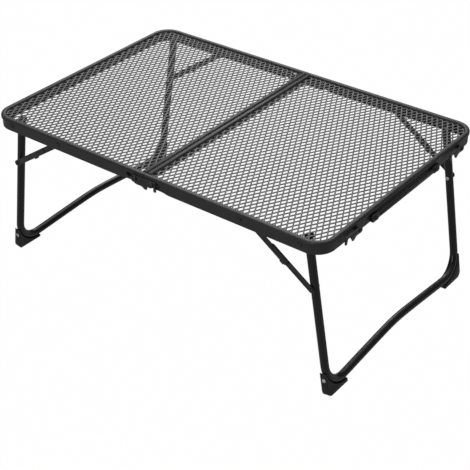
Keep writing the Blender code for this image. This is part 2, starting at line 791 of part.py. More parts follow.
def hook_mesh(shape):
    """Stamped hook: pivot at the origin, an open notch for the stud.

    The notch widens below its roof on the prong's side, so that the stud
    can leave it by turning about the nearer fold pin.
    """
    notch_r = STUD_R + FREE_GAP
    near = shape["reach"] - notch_r
    far = shape["reach"] + notch_r
    blade = shape["blade"]
    bottom, lobe, prong = -shape["bottom"], -shape["lobe"], -shape["prong"]
    throat = far + HOOK_THROAT
    tip = throat + HOOK_PRONG_W
    corners = [(-HOOK_TOP, -HOOK_TOP, HOOK_SOFT_R), (HOOK_NECK, bottom, HOOK_SOFT_R),
               (blade, bottom, HOOK_SOFT_R),
               (blade + shape["run"], lobe, HOOK_EDGE_R),
               (near - HOOK_FLARE, lobe, HOOK_EDGE_R), (near, -HOOK_EDGE_R, 0),
               (near, notch_r, notch_r * 0.98),
               (far - HOOK_ROOF_CUT, notch_r, HOOK_ROOF_R),
               (throat, -HOOK_THROAT_DEPTH, HOOK_ROOF_R),
               (throat, prong, HOOK_EDGE_R), (tip, prong, HOOK_EDGE_R),
               (tip, HOOK_TOP, HOOK_FRONT_R), (-HOOK_TOP, HOOK_TOP, HOOK_BACK_R)]
    return plate_mesh("hook", rounded(corners), [hole(0, 0, HUB_R + GAP)], HOOK_T)


def add_lock(build, end_name, end):
    """Lock lever with its pivot on the left half and a stud on the right."""
    outward = end * Y_AXIS
    pivot = Vector((-LOCK_X, 0, LOCK_Z))
    stud = Vector((LOCK_X, 0, LOCK_Z))
    place = frame(pivot + outward * (LOCK_IN + HOOK_T / 2), X_AXIS, Z_AXIS)
    build.add(f"lock_lever_{end_name}", hook_mesh(LOCK_SHAPE), "lock_steel", f"lock_{end_name}",
              place)
    clear = FOLD_LINK_OUT + 2 * HEAD_T
    root = tail(PIN_R * 1.5, BRACKET_IN - GAP)
    root += steps_of((PIN_R, BRACKET_IN - GAP, BRACKET_OUT + GAP))
    pin = root + steps_of((HUB_R, BRACKET_OUT + GAP, clear),
                          (COLLAR_R, clear, LOCK_IN - GAP),
                          (HUB_R, LOCK_IN - GAP, LOCK_OUT + GAP))
    pin += head(STUD_HEAD_R, LOCK_OUT + GAP, BIG_HEAD_T)
    build.add_turned(f"lock_pivot_{end_name}", pin, "rivet_zinc", "left_half", pivot,
                     outward, LOCK_IN)
    pin = root + steps_of((HUB_R, BRACKET_OUT + GAP, clear),
                          (STUD_R, clear, LOCK_OUT + GAP))
    pin += head(STUD_HEAD_R, LOCK_OUT + GAP, BIG_HEAD_T)
    build.add_turned(f"lock_stud_{end_name}", pin, "rivet_zinc", "right_half", stud,
                     outward, LOCK_IN)


def end_wall_root():
    """Tail and shank of a pin through the wall of a short side."""
    return tail(SMALL_HEAD_R, WALL_IN_X - GAP) + steps_of(
        (PIN_R, WALL_IN_X - GAP, WALL_OUT_X + GAP))


def add_transport_hook(build, end_name):
    """Hook on the right end that catches a stud on the left when folded."""
    pivot = Vector((0, HOOK_Y[end_name], HOOK_Z))
    place = frame(pivot + X_AXIS * (HOOK_IN + HOOK_T / 2), -Y_AXIS, Z_AXIS)
    build.add(f"hook_{end_name}", hook_mesh(HOOK_SHAPE), "lock_steel",
              f"hook_body_{end_name}", place)
    pin = end_wall_root() + steps_of((SMALL_HEAD_R - GAP / 2, WALL_OUT_X + GAP, HOOK_IN - GAP),
                                     (HUB_R, HOOK_IN - GAP, HOOK_OUT + GAP))
    pin += head(HEAD_R, HOOK_OUT + GAP, HEAD_T)
    build.add_turned(f"hook_rivet_{end_name}", pin, "rivet_zinc", "right_half", pivot,
                     X_AXIS, HOOK_IN)
    pin = end_wall_root() + steps_of((STUD_R, WALL_OUT_X + GAP, HOOK_OUT + FREE_GAP))
    pin += head(STUD_HEAD_R, HOOK_OUT + FREE_GAP, BIG_HEAD_T)
    build.add_turned(f"hook_stud_{end_name}", pin, "rivet_zinc", "left_half", pivot,
                     -X_AXIS, HOOK_IN)


def handle_rivet_y(end):
    return end * (HANDLE_L - HANDLE_CAP_L) / 2


def add_handle(build):
    """A flat strap that stands off the frame between two riveted caps."""
    cap_out = WALL_OUT_X + GAP + HANDLE_CAP_T
    strap_x = cap_out - HANDLE_RELIEF - HANDLE_T / 2
    strap = Vector((HANDLE_T / 2, HANDLE_L / 2 - HANDLE_CAP_L + HANDLE_SEAT, HANDLE_H / 2))
    place = Matrix.Translation((strap_x, 0, HANDLE_Z))
    handle = build.add("handle", box_mesh("handle", -strap, strap), "handle_grey",
                       "right_half", place, smooth=True)
    u, v = HANDLE_CAP_L / 2, HANDLE_CAP_H / 2
    corners = [(-u, -v), (u, -v), (u, v), (-u, v)]
    outline = rounded([(*corner, HANDLE_CAP_R) for corner in corners])
    cap_x = WALL_OUT_X + GAP + HANDLE_CAP_T / 2
    caps = []
    tools = []
    for end_name, end in ENDS:
        point = Vector((0, handle_rivet_y(end), HANDLE_Z))
        caps.append((plate_mesh("cap", outline, [], HANDLE_CAP_T),
                     frame(point + cap_x * X_AXIS, Y_AXIS, Z_AXIS)))
        tools.append(drill(PIN_R + GAP, point, X_AXIS, cap_x))
        pin = end_wall_root()[:-1] + steps_of((PIN_R, cap_out, cap_out + GAP))[1:]
        pin += head(HANDLE_HEAD_R, cap_out + GAP, BIG_HEAD_T)
        build.add_turned(f"handle_rivet_{end_name}", pin, "rivet_zinc", "right_half",
                         point, X_AXIS, WALL_OUT_X)
    build.cut(handle, "join_caps", caps, operation="UNION")
    build.cut(handle, "cut_handle", tools)


def add_bodies(build):
    """An empty on the joint's axis for each piece that moves."""
    top, knee, _ = brace_points()
    build.body("left_half", (0, 0, HEIGHT))
    build.body("right_half", (FOLD_PIN_X, 0, FOLD_PIN_Z))
    build.body("fold_link", (-FOLD_PIN_X, 0, FOLD_PIN_Z))
    for side_name, side in SIDES:
        build.body(f"leg_frame_{side_name}", (side * LEG_X, 0, LEG_Z))
        build.body(f"brace_top_{side_name}", (side * top.x, 0, top.y))
        build.body(f"brace_low_{side_name}", (side * knee.x, 0, knee.y))
    for end_name, end in ENDS:
        build.body(f"lock_{end_name}", (-LOCK_X, end * LOCK_IN, LOCK_Z))
        build.body(f"hook_body_{end_name}", (HOOK_IN, HOOK_Y[end_name], HOOK_Z))


def main():
    clear_scene()
    build = Builder()
    add_bodies(build)
    for side_name, side in SIDES:
        add_rail(build, side_name, side)
        add_bar(build, side_name, side)
        add_panel(build, side_name, side)
        add_leg(build, side_name, side)
        add_feet(build, side_name, side)
        for end_name, end in ENDS:
            add_leg_rivet(build, side_name, side, end_name, end)
            add_upper_link(build, side_name, side, end_name, end)
            add_lower_link(build, side_name, side, end_name, end)
            add_brace_rivets(build, side_name, side, end_name, end)
            add_bracket(build, side_name, side, end_name, end)
    for end_name, end in ENDS:
        add_fold_link(build, end_name, end)
        add_lock(build, end_name, end)
        add_transport_hook(build, end_name)
    add_handle(build)


main()
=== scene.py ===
"""Looks of a folding camp table with a mesh top.

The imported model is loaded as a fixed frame, and finer pieces with their
finishes take the place of its plain ones: rounded frames, an expanded-metal
top, bent tube legs, braces, hooks and a strap handle, in a pale studio.

Metres, +Z up, floor at z = 0. X runs along the length, the front long side
is at -Y.
"""

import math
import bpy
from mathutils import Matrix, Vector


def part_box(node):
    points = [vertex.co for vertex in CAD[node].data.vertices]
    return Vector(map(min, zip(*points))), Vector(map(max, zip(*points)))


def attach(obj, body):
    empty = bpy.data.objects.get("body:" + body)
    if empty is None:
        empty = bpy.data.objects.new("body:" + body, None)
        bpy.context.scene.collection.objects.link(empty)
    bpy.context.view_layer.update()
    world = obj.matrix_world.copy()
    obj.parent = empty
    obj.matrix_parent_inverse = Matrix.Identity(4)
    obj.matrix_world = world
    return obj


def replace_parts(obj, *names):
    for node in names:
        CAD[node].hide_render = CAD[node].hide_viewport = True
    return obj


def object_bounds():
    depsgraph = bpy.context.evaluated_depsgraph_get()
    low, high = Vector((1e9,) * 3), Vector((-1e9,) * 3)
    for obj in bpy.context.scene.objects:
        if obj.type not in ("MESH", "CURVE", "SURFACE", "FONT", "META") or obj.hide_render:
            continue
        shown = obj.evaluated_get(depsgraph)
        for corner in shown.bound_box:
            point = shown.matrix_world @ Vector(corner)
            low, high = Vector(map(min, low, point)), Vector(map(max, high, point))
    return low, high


bl_info = {
    "name": "Folding camp table looks",
    "version": (1, 0, 0),
    "blender": (4, 5, 0),
    "location": "View3D > Sidebar > Camp table",
    "description": "Detailed pieces, finishes and studio for a folding camp table",
    "category": "Object",
}

import bmesh
import bpy
from bpy.props import FloatProperty, FloatVectorProperty, IntProperty, PointerProperty
from mathutils import Matrix, Vector

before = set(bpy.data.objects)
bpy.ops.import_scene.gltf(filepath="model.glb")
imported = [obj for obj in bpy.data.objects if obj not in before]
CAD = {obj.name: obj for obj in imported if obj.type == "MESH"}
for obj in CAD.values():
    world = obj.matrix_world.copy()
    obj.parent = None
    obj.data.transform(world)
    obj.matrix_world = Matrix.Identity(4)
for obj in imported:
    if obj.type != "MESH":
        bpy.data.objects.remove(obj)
CAD_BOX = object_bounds()

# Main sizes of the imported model, and the gap between pieces that touch
HEIGHT = CAD_BOX[1].z
LENGTH = 0.600
DEPTH = 0.400
CORNER_R = 0.030
GAP = 0.0003

# Section of the frame: a rim, a wall set back under it and a flange
RIM_W = 0.008
RIM_H = 0.006
WALL_BACK = 0.0015
WALL_INNER = 0.003
WALL_H = 0.020
FLANGE_REACH = 0.006
FLANGE_TOP = 0.0188
WALL_EDGE_R = 0.0013
BAR_W = RIM_W + GAP
BAR_PLATE = 0.0018
BAR_H = 0.0165
BAR_END = 0.0085
BAR_EDGE = 0.0002

# Openings of the frame at its fold joints, with heights from the top of the rim
CUTTER_T = 0.008
CUTTER_INSET = 0.0035
WINDOW_TOP = -0.0064
WINDOW_X = 0.032
LIP_TOP = -0.0135
LIP_BOTTOM = -0.0168
SLANT_X = 0.054

# Mesh panel
PANEL_CORNER_R = CORNER_R - RIM_W - GAP
PANEL_CORNER_CUTS = 5

# Legs
TUBE_R = 0.006
LEG_X = 0.2625
LEG_Y = 0.177
LEG_Z = HEIGHT - 0.0105
LEG_SPLAY = math.radians(9.35)
LEG_BEND_R = 0.037
LEG_TOP = 0.0055
LEG_TOP_R = 0.0032
BAR_Z = 0.011
BAR_RISE = 0.010
BAR_KINK = 0.18
SHOE_EDGE = 0.0007
SHOE_RIVET_Z = 0.0265
SHOE_RIVET_T = 0.0015

# Pin between each lower brace and its leg, on the right side, and its tail:
# radius and distance past the tube's inner side, from the hollow middle outward
BRACE_PIN_X = 0.274669
BRACE_PIN_Z = 0.170094
BRACE_TAIL = [(0.0013, -0.0006), (0.0015, -0.0011), (0.0024, -0.0011),
              (0.0030, -0.0008), (0.0030, 0.0001), (0.0022, 0.0006)]

# Planes across the table, from the leg tube outward
TUBE_IN = LEG_Y - TUBE_R
TUBE_OUT = LEG_Y + TUBE_R
LINK_T = 0.0015
LOWER_IN = TUBE_OUT + 0.0016
LOWER_OUT = LOWER_IN + LINK_T
UPPER_IN = LOWER_OUT + GAP
UPPER_OUT = UPPER_IN + LINK_T
WALL_IN_Y = DEPTH / 2 - WALL_INNER
WALL_OUT_Y = DEPTH / 2 - WALL_BACK
WALL_OUT_X = LENGTH / 2 - WALL_BACK

# Radii of pins, collars and heads, and the heights of collars and heads
PIN_R = 0.0020
LEG_PIN_R = 0.0025
HUB_R = 0.0026
STUD_R = 0.0028
COLLAR_R = 0.0034
LEG_COLLAR_R = 0.0040
HOOK_COLLAR_R = 0.0031
SMALL_HEAD_R = 0.0032
HEAD_R = 0.0036
BIG_HEAD_R = 0.0052
COLLAR_T = 0.0016
LOW_HEAD_T = 0.0010
HEAD_T = 0.0014
BIG_HEAD_T = 0.0025

# Rise of a pin's steps, edge of sharp pieces, and how far a head sinks in
STEP = 0.0001
SHARP = 0.0001
SUNK = 0.0002

# Hooks. Reach is from pivot to stud. The blade's underside is at bottom and, from
# blade on, slopes over run to the lobe's depth. The prong ends at its own depth.
LOCK_SHAPE = {"reach": 0.030, "bottom": 0.0085, "blade": 0.0141, "run": 0.0045,
              "lobe": 0.0115, "prong": 0.010}
HOOK_SHAPE = {"reach": 0.025, "bottom": 0.0045, "blade": 0.0090, "run": 0.0055,
              "lobe": 0.0085, "prong": 0.0065}
HOOK_T = 0.002
HOOK_TOP = 0.005
HOOK_NECK = 0.004
HOOK_FLARE = 0.0044
HOOK_MOUTH = 0.0009
HOOK_THROAT = 0.0019
HOOK_THROAT_DEPTH = 0.0034
HOOK_PRONG_W = 0.0042
NOTCH_R = 0.0033
LOCK_X = 0.015
LOCK_Z = HEIGHT - 0.010
LOCK_IN = 0.2005
HOOK_IN = 0.303
HOOK_Z = HEIGHT - 0.012
HOOK_Y = {"front": -0.121, "rear": 0.148}

# Inner ends of the pins in the fold brackets and in the end walls
BRACKET_TAIL = [(0.0030, 0.1902), (0.0030, 0.1910), (PIN_R, 0.1911), (PIN_R, 0.1926),
                (HUB_R, 0.1929)]
WALL_TAIL = [(0.0032, 0.2957), (0.0032, 0.2966), (PIN_R, 0.2967)]

# Handle
HANDLE_Z = HEIGHT - 0.0145
HANDLE_L = 0.1755
HANDLE_SEAT = 0.004
HANDLE_HEAD_R = 0.0038
STRAP_H = 0.0084
STRAP_T = 0.0016
STRAP_DEPTH = 0.0011
STRAP_R = 0.0005
CAP_L = 0.016
CAP_H = 0.011
CAP_T = 0.0042
CAP_R = 0.0025
CAP_EDGE = 0.0006

# Groove of the strap: its edge, floor, floor and edge across the outer face
GROOVE = (0.0006, 0.0013, 0.0029, 0.0034)
GROOVE_DEPTH = 0.0006
GROOVE_R = 0.0002

# Finishes and studio
SPECULAR = 0.35
BUMP_DEPTH = 0.0002
FLOOR_SEEN = 0.995
FLOOR_MIRRORED = 0.32

# Points closer than this are welded
WELD = 0.00001
LOOSE_WELD = 0.00002
CUT_WELD = 0.00005

X_AXIS = Vector((1, 0, 0))
Y_AXIS = Vector((0, 1, 0))
Z_AXIS = Vector((0, 0, 1))
SIDES = (("left", -1), ("right", 1))
ENDS = (("front", -1), ("rear", 1))
FLIP = Matrix.Diagonal((-1, 1, 1, 1))


class CampTableSizes(bpy.types.PropertyGroup):
    """Sizes of the fine pieces."""

    pitch_x: FloatProperty(
        name="Mesh pitch along", description="Width of one diamond of the top",
        default=0.00873, min=0.004, max=0.03, subtype="DISTANCE", unit="LENGTH")
    pitch_y: FloatProperty(
        name="Mesh pitch across", description="Length of one diamond of the top",
        default=0.0161, min=0.006, max=0.05, subtype="DISTANCE", unit="LENGTH")
    strand: FloatProperty(
        name="Strand width", description="Width of the mesh's strands",
        default=0.0021, min=0.0005, max=0.004, subtype="DISTANCE", unit="LENGTH")
    ridge: FloatProperty(
        name="Strand crown", description="Height of a strand's middle over its edges",
        default=0.00035, min=0, max=0.001, subtype="DISTANCE", unit="LENGTH")
    bead: FloatProperty(
        name="Rim bead", description="Rounding of the frame's rim",
        default=0.0026, min=0.0005, max=0.0029, subtype="DISTANCE", unit="LENGTH")
    edge: FloatProperty(
        name="Plate edge", description="Rounding of the edges of stamped plates",
        default=0.0003, min=0.0001, max=0.0006, subtype="DISTANCE", unit="LENGTH")
    tube_sides: IntProperty(name="Tube sides", description="Faces round the leg tube",
                            default=32, min=12, max=64)


class CampTableColours(bpy.types.PropertyGroup):
    """Colours of the finishes."""

    frame: FloatVectorProperty(name="Frame", description="Powder coat of the frames", size=3,
                               default=(0.027, 0.027, 0.029), min=0, max=1, subtype="COLOR")
    # The mesh's coat is about three times lighter than the frame's: partly its own tone, partly
    # painted light for the light its upward strands catch from above.
    mesh: FloatVectorProperty(name="Mesh", description="Coat of the mesh top", size=3,
                              default=(0.090, 0.090, 0.094), min=0, max=1, subtype="COLOR")
    leg: FloatVectorProperty(name="Legs", description="Powder coat of the leg tubes", size=3,
                             default=(0.010, 0.010, 0.011), min=0, max=1, subtype="COLOR")
    brace: FloatVectorProperty(name="Braces", description="Powder coat of the links", size=3,
                               default=(0.022, 0.022, 0.023), min=0, max=1, subtype="COLOR")
    shoe: FloatVectorProperty(name="Shoes", description="Moulded plastic of the shoes", size=3,
                              default=(0.012, 0.012, 0.013), min=0, max=1, subtype="COLOR")
    lever: FloatVectorProperty(name="Hooks", description="Coat of the hooks and levers", size=3,
                               default=(0.020, 0.020, 0.021), min=0, max=1, subtype="COLOR")
    strap: FloatVectorProperty(name="Handle", description="Coat of the strap handle", size=3,
                               default=(0.012, 0.012, 0.013), min=0, max=1, subtype="COLOR")
    zinc: FloatVectorProperty(name="Bright rivets", description="Bare metal of the bright rivets",
                              size=3, default=(0.72, 0.72, 0.74), min=0, max=1, subtype="COLOR")
    pin: FloatVectorProperty(name="Dark rivets", description="Coat of the dark rivets", size=3,
                             default=(0.030, 0.030, 0.032), min=0, max=1, subtype="COLOR")


class CampTableStudio(bpy.types.PropertyGroup):
    """Camera and light of the studio."""

    azimuth: FloatProperty(name="Azimuth", description="Camera's turn round the table",
                           default=math.radians(38.0199), subtype="ANGLE", unit="ROTATION")
    elevation: FloatProperty(name="Elevation", description="Camera's height over the horizon",
                             default=math.radians(33.5031), subtype="ANGLE", unit="ROTATION")
    roll: FloatProperty(name="Roll", description="Camera's turn about its own axis",
                        default=math.radians(-0.4964), subtype="ANGLE", unit="ROTATION")
    distance: FloatProperty(name="Distance", description="From the camera to its target",
                            default=1.4909, subtype="DISTANCE", unit="LENGTH")
    target: FloatVectorProperty(name="Target", description="Point that the camera looks at", size=3,
                                default=(0.2205, -0.2770, 0.2834), subtype="XYZ", unit="LENGTH")
    lens: FloatProperty(name="Lens", description="Focal length in millimetres",
                        default=93.06, min=10, max=300)
    key: FloatProperty(name="Key light", description="Power of the large light overhead",
                       default=32.0, min=0, subtype="POWER", unit="POWER")
    side: FloatProperty(name="Side light", description="Power of the light from the right",
                        default=2.5, min=0, subtype="POWER", unit="POWER")
    front: FloatProperty(name="Front light", description="Power of the light from the front left",
                         default=22.0, min=0, subtype="POWER", unit="POWER")
    back: FloatProperty(name="Back light", description="Power of the light from behind",
                        default=30.0, min=0, subtype="POWER", unit="POWER")
    sky: FloatProperty(name="Ambient light", description="Strength of the world's light",
                       default=0.30, min=0, max=2)


# Hand tools

def deselect():
    if bpy.context.object and bpy.context.object.mode != "OBJECT":
        bpy.ops.object.mode_set(mode="OBJECT")
    bpy.ops.object.select_all(action="DESELECT")


def hold(piece):
    """Makes a piece the only selected one."""
    deselect()
    bpy.context.view_layer.objects.active = piece
    piece.select_set(True)


def open_piece(piece, mode="FACE"):
    """Opens a piece in edit mode with nothing selected in it."""
    hold(piece)
    bpy.ops.object.mode_set(mode="EDIT")
    bpy.ops.mesh.select_mode(type=mode)
    bpy.ops.mesh.select_all(action="DESELECT")


def open_whole(piece):
    """Opens a piece in edit mode with all of it selected."""
    open_piece(piece)
    bpy.ops.mesh.select_all(action="SELECT")


def pick(piece, mode, test):
    """Selects the points or edges of the open piece that pass a test."""
    bpy.ops.mesh.select_mode(type=mode)
    bpy.ops.mesh.select_all(action="DESELECT")
    bm = bmesh.from_edit_mesh(piece.data)
    items = {"VERT": bm.verts, "EDGE": bm.edges}[mode]
    chosen = [item for item in items if test(item)]
    if not chosen:
        raise RuntimeError(f"nothing was found to select on {piece.name}")
    for item in chosen:
        item.select_set(True)
    bm.select_flush_mode()
    bmesh.update_edit_mesh(piece.data)


def extrude(x, y, z):
    """Extrudes what is selected in the open piece."""
    bpy.ops.mesh.extrude_region_move(TRANSFORM_OT_translate={"value": (x, y, z)})


def shade(piece, angle=35):
    """Smooths a piece. Edges over an angle in degrees stay sharp."""
    hold(piece)
    bpy.ops.object.shade_smooth_by_angle(angle=math.radians(angle))


def close_piece(piece, angle=35):
    """Welds the open piece, turns its faces outward and smooths it."""
    bpy.ops.mesh.select_all(action="SELECT")
    bpy.ops.mesh.remove_doubles(threshold=WELD)
    bpy.ops.mesh.normals_make_consistent(inside=False)
    bpy.ops.object.mode_set(mode="OBJECT")
    shade(piece, angle)


def apply_modifier(piece, kind, **values):
    hold(piece)
    modifier = piece.modifiers.new(kind.title(), kind)
    for name, value in values.items():
        setattr(modifier, name, value)
    bpy.ops.object.modifier_apply(modifier=modifier.name)


def settle(piece, place):
    """Puts a piece in its place in the mesh, the object at the origin."""
    hold(piece)
    piece.matrix_world = place
    bpy.ops.object.transform_apply(location=True, rotation=True, scale=True)
    if place.determinant() < 0:
        open_whole(piece)
        bpy.ops.mesh.normals_make_consistent(inside=False)
        bpy.ops.object.mode_set(mode="OBJECT")
    return piece


def copied(piece, name, place):
    """A copy of a finished piece with its own mesh, moved by a matrix."""
    hold(piece)
    bpy.ops.object.duplicate(linked=False)
    copy = bpy.context.object
    copy.name = name
    return settle(copy, place)


def extra(piece, material, body):
    """Gives a piece its finish and its body."""
    piece.data.materials.clear()
    piece.data.materials.append(bpy.data.materials[material])
    piece.data.name = piece.name
    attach(piece, body)
    return piece


def dress(piece, material, body, slot, *nodes):
    """Gives a piece its finish, its body and the nodes that it stands for."""
    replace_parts(extra(piece, material, body), *nodes)
    return piece


def frame(origin, u, v):
    """World matrix of a local frame with u and v as its first two axes."""
    matrix = Matrix((u, v, u.cross(v))).transposed().to_4x4()
    matrix.translation = origin
    return matrix


def along(point, direction):
    """World matrix whose local Z runs along a level direction."""
    return frame(point, Z_AXIS, direction.cross(Z_AXIS))


def sketch(name, corners, segments=5):
    """A flat outline through corners (u, v, radius), each one rounded."""
    deselect()
    bpy.ops.mesh.primitive_circle_add(vertices=len(corners), radius=0.01, fill_type="NGON")
    piece = bpy.context.object
    piece.name = name
    for vert, (u, v, _) in zip(piece.data.vertices, corners):
        vert.co = (u, v, 0)
    open_piece(piece, "VERT")
    for i, (u, v, radius) in enumerate(corners):
        if radius <= 0:
            continue
        corner = Vector((u, v, 0))
        before = Vector((*corners[i - 1][:2], 0)) - corner
        after = Vector((*corners[(i + 1) % len(corners)][:2], 0)) - corner
        reach = radius / math.tan(before.angle(after) / 2)
        pick(piece, "VERT", lambda vert: (vert.co - corner).length < WELD)
        bpy.ops.mesh.bevel(affect="VERTICES", offset=reach, segments=segments,
                           offset_type="OFFSET")
    bpy.ops.object.mode_set(mode="OBJECT")
    return piece


def stamped(name, corners, thickness, edge, place, segments=5):
    """A plate stamped to an outline, its edges softened, about local z = 0."""
    piece = sketch(name, corners, segments)
    open_whole(piece)
    bpy.ops.transform.translate(value=(0, 0, -thickness / 2))
    extrude(0, 0, thickness)
    pick(piece, "EDGE", on_rim)
    bpy.ops.mesh.bevel(affect="EDGES", offset=edge, segments=2)
    close_piece(piece)
    return settle(piece, place)


def on_rim(edge):
    """Whether an edge lies between a flat face and its side."""
    level = 0.9
    flat = [abs(face.normal.z) > level for face in edge.link_faces]
    return len(flat) == 2 and flat[0] != flat[1]


def turned(name, stations, place, sides=28):
    """A turned piece through (radius, distance) stations along local Z."""
    deselect()
    radius, start = stations[0]
    bpy.ops.mesh.primitive_circle_add(vertices=sides, radius=radius, fill_type="NGON",
                                      location=(0, 0, start))
    piece = bpy.context.object
    piece.name = name
    settle(piece, piece.matrix_world.copy())
    open_whole(piece)
    for (old, near), (new, far) in zip(stations, stations[1:]):
        extrude(0, 0, far - near)
        bpy.ops.transform.resize(value=(new / old, new / old, 1),
                                 center_override=(0, 0, far))
    close_piece(piece, 40)
    return settle(piece, place)


def dome(radius, near, height, rim=0.25, steps=5):
    """Stations of a low domed head: a short upright rim, then the dome."""
    seat, foot, blunt = 0.94, 0.08, 0.35
    stations = [(radius * seat, near), (radius, near + height * foot),
                (radius, near + height * rim)]
    for i in range(1, steps + 1):
        angle = math.pi / 2 * i / (steps + blunt)
        stations.append((radius * math.cos(angle),
                         near + height * (rim + (1 - rim) * math.sin(angle))))
    return stations


def headed(stations, radius, near, height):
    """Stations of a pin with a domed head: its shank runs up to the head."""
    return stations + [(stations[-1][0], near - STEP / 2)] + dome(radius, near, height)


def collar(shank, radius, near, far):
    """Stations of a collar on a pin's shank."""
    return [(shank, near), (radius, near + STEP), (radius, far), (shank, far + STEP)]


def refined(node, name, edge):
    """A welded copy of a CAD node with softened edges."""
    piece = bpy.data.objects.new(name, CAD[node].data.copy())
    bpy.context.scene.collection.objects.link(piece)
    open_whole(piece)
    bpy.ops.mesh.remove_doubles(threshold=LOOSE_WELD)
    bpy.ops.mesh.dissolve_limited(angle_limit=math.radians(1))
    bpy.ops.object.mode_set(mode="OBJECT")
    apply_modifier(piece, "BEVEL", width=edge, segments=2, limit_method="ANGLE",
                   angle_limit=math.radians(40))
    shade(piece)
    return piece


# Finishes

def add_socket(group, name, kind, direction, value=None):
    socket = group.interface.new_socket(name=name, in_out=direction, socket_type=kind)
    if value is not None:
        socket.default_value = value
    return socket


def open_group(name, inputs):
    """A finish's node group: its tree and the outputs of its input node."""
    group = bpy.data.node_groups.new(name, "ShaderNodeTree")
    add_socket(group, "Position", "NodeSocketVector", "INPUT")
    for socket, value in inputs.items():
        kind = "NodeSocketColor" if "Colour" in socket else "NodeSocketFloat"
        add_socket(group, socket, kind, "INPUT", value)
    add_socket(group, "Colour", "NodeSocketColor", "OUTPUT")
    add_socket(group, "Roughness", "NodeSocketFloat", "OUTPUT")
    add_socket(group, "Height", "NodeSocketFloat", "OUTPUT")
    return group, group.nodes.new("NodeGroupInput").outputs


def close_group(group, colour, roughness, height):
    """Sends the results of a finish to the group's output node."""
    target = group.nodes.new("NodeGroupOutput").inputs
    group.links.new(colour, target["Colour"])
    group.links.new(roughness, target["Roughness"])
    group.links.new(height, target["Height"])
    return group


def feed(tree, socket, term):
    """Links a socket to another one, or gives it a plain value."""
    if isinstance(term, bpy.types.NodeSocket):
        tree.links.new(term, socket)
    else:
        socket.default_value = term


def noise(tree, position, scale, detail):
    node = tree.nodes.new("ShaderNodeTexNoise")
    feed(tree, node.inputs["Vector"], position)
    feed(tree, node.inputs["Scale"], scale)
    feed(tree, node.inputs["Detail"], detail)
    return node.outputs["Fac"]


def stretch(tree, value, low, high, start=0, end=1):
    """Maps the range from low to high to the one from start to end."""
    node = tree.nodes.new("ShaderNodeMapRange")
    for name, term in (("Value", value), ("From Min", low), ("From Max", high),
                       ("To Min", start), ("To Max", end)):
        feed(tree, node.inputs[name], term)
    return node.outputs["Result"]


def reckon(tree, operation, *terms):
    """A math node's result from sockets and numbers."""
    node = tree.nodes.new("ShaderNodeMath")
    node.operation = operation
    for socket, term in zip(node.inputs, terms):
        feed(tree, socket, term)
    return node.outputs[0]


def mix_colours(tree, factor, first, second):
    node = tree.nodes.new("ShaderNodeMix")
    node.data_type = "RGBA"
    feed(tree, node.inputs["Factor"], factor)
    feed(tree, node.inputs["A"], first)
    feed(tree, node.inputs["B"], second)
    return node.outputs["Result"]


def mix_shaders(tree, factor, first, second, output):
    """Sends a mix of two shader nodes to an output node."""
    node = tree.nodes.new("ShaderNodeMixShader")
    for socket, term in zip(node.inputs, (factor, first.outputs[0], second.outputs[0])):
        tree.links.new(term, socket)
    tree.links.new(node.outputs[0], tree.nodes[output].inputs["Surface"])


def coat_group():
    """Powder coat: fine orange peel, a soft mottle and a few rubbed specks."""
    group, source = open_group("powder_coat", {
        "Colour": (0.03, 0.03, 0.03, 1), "Rubbed Colour": (0.1, 0.1, 0.1, 1),
        "Roughness": 0.45, "Grain Scale": 1400.0, "Mottle": 0.3, "Rub": 0.3})
    place = source["Position"]
    grain = noise(group, place, source["Grain Scale"], detail=2)
    mottle = noise(group, place, scale=46, detail=4)
    specks = noise(group, place, scale=310, detail=3)
    tint = stretch(group, mottle, 0.3, 0.7, start=-1, end=1)
    swing = reckon(group, "MULTIPLY", tint, source["Mottle"])
    toned = group.nodes.new("ShaderNodeVectorMath")
    toned.operation = "SCALE"
    group.links.new(source["Colour"], toned.inputs[0])
    group.links.new(reckon(group, "ADD", swing, 1), toned.inputs["Scale"])
    worn = stretch(group, specks, 0.60, 0.74)
    rubbed = reckon(group, "MULTIPLY", worn, source["Rub"])
    colour = mix_colours(group, rubbed, toned.outputs["Vector"], source["Rubbed Colour"])
    spread = reckon(group, "MULTIPLY_ADD", tint, 0.05, source["Roughness"])
    polished = reckon(group, "MULTIPLY_ADD", rubbed, -0.12, spread)
    return close_group(group, colour, polished, grain)


def metal_group():
    """Bare metal: fine scratches and dull patches from handling."""
    group, source = open_group("handled_metal", {
        "Colour": (0.5, 0.5, 0.5, 1), "Tarnish Colour": (0.2, 0.2, 0.2, 1),
        "Roughness": 0.3})
    place = source["Position"]
    dull = stretch(group, noise(group, place, scale=420, detail=4), 0.42, 0.68)
    colour = mix_colours(group, dull, source["Colour"], source["Tarnish Colour"])
    rough = reckon(group, "MULTIPLY_ADD", dull, 0.18, source["Roughness"])
    scratches = noise(group, place, scale=2600, detail=2)
    return close_group(group, colour, rough, scratches)


def finish_from(name, group, values, metallic, bump):
    """A material whose colour, roughness and bump come from a finish group."""
    material = bpy.data.materials.new(name)
    material.use_nodes = True
    nodes, links = material.node_tree.nodes, material.node_tree.links
    shader = nodes["Principled BSDF"]
    place = nodes.new("ShaderNodeTexCoord")
    finish = nodes.new("ShaderNodeGroup")
    finish.node_tree = group
    for socket, value in values.items():
        finish.inputs[socket].default_value = value
    links.new(place.outputs["Object"], finish.inputs["Position"])
    links.new(finish.outputs["Colour"], shader.inputs["Base Color"])
    links.new(finish.outputs["Roughness"], shader.inputs["Roughness"])
    relief = nodes.new("ShaderNodeBump")
    relief.inputs["Strength"].default_value = bump
    relief.inputs["Distance"].default_value = BUMP_DEPTH
    links.new(finish.outputs["Height"], relief.inputs["Height"])
    links.new(relief.outputs["Normal"], shader.inputs["Normal"])
    shader.inputs["Metallic"].default_value = metallic
    shader.inputs["Specular IOR Level"].default_value = SPECULAR
    return material


def lighter(colour, times):
    """A colour with its channels multiplied, for a Colour socket."""
    return (*[min(1, channel * times) for channel in colour], 1)


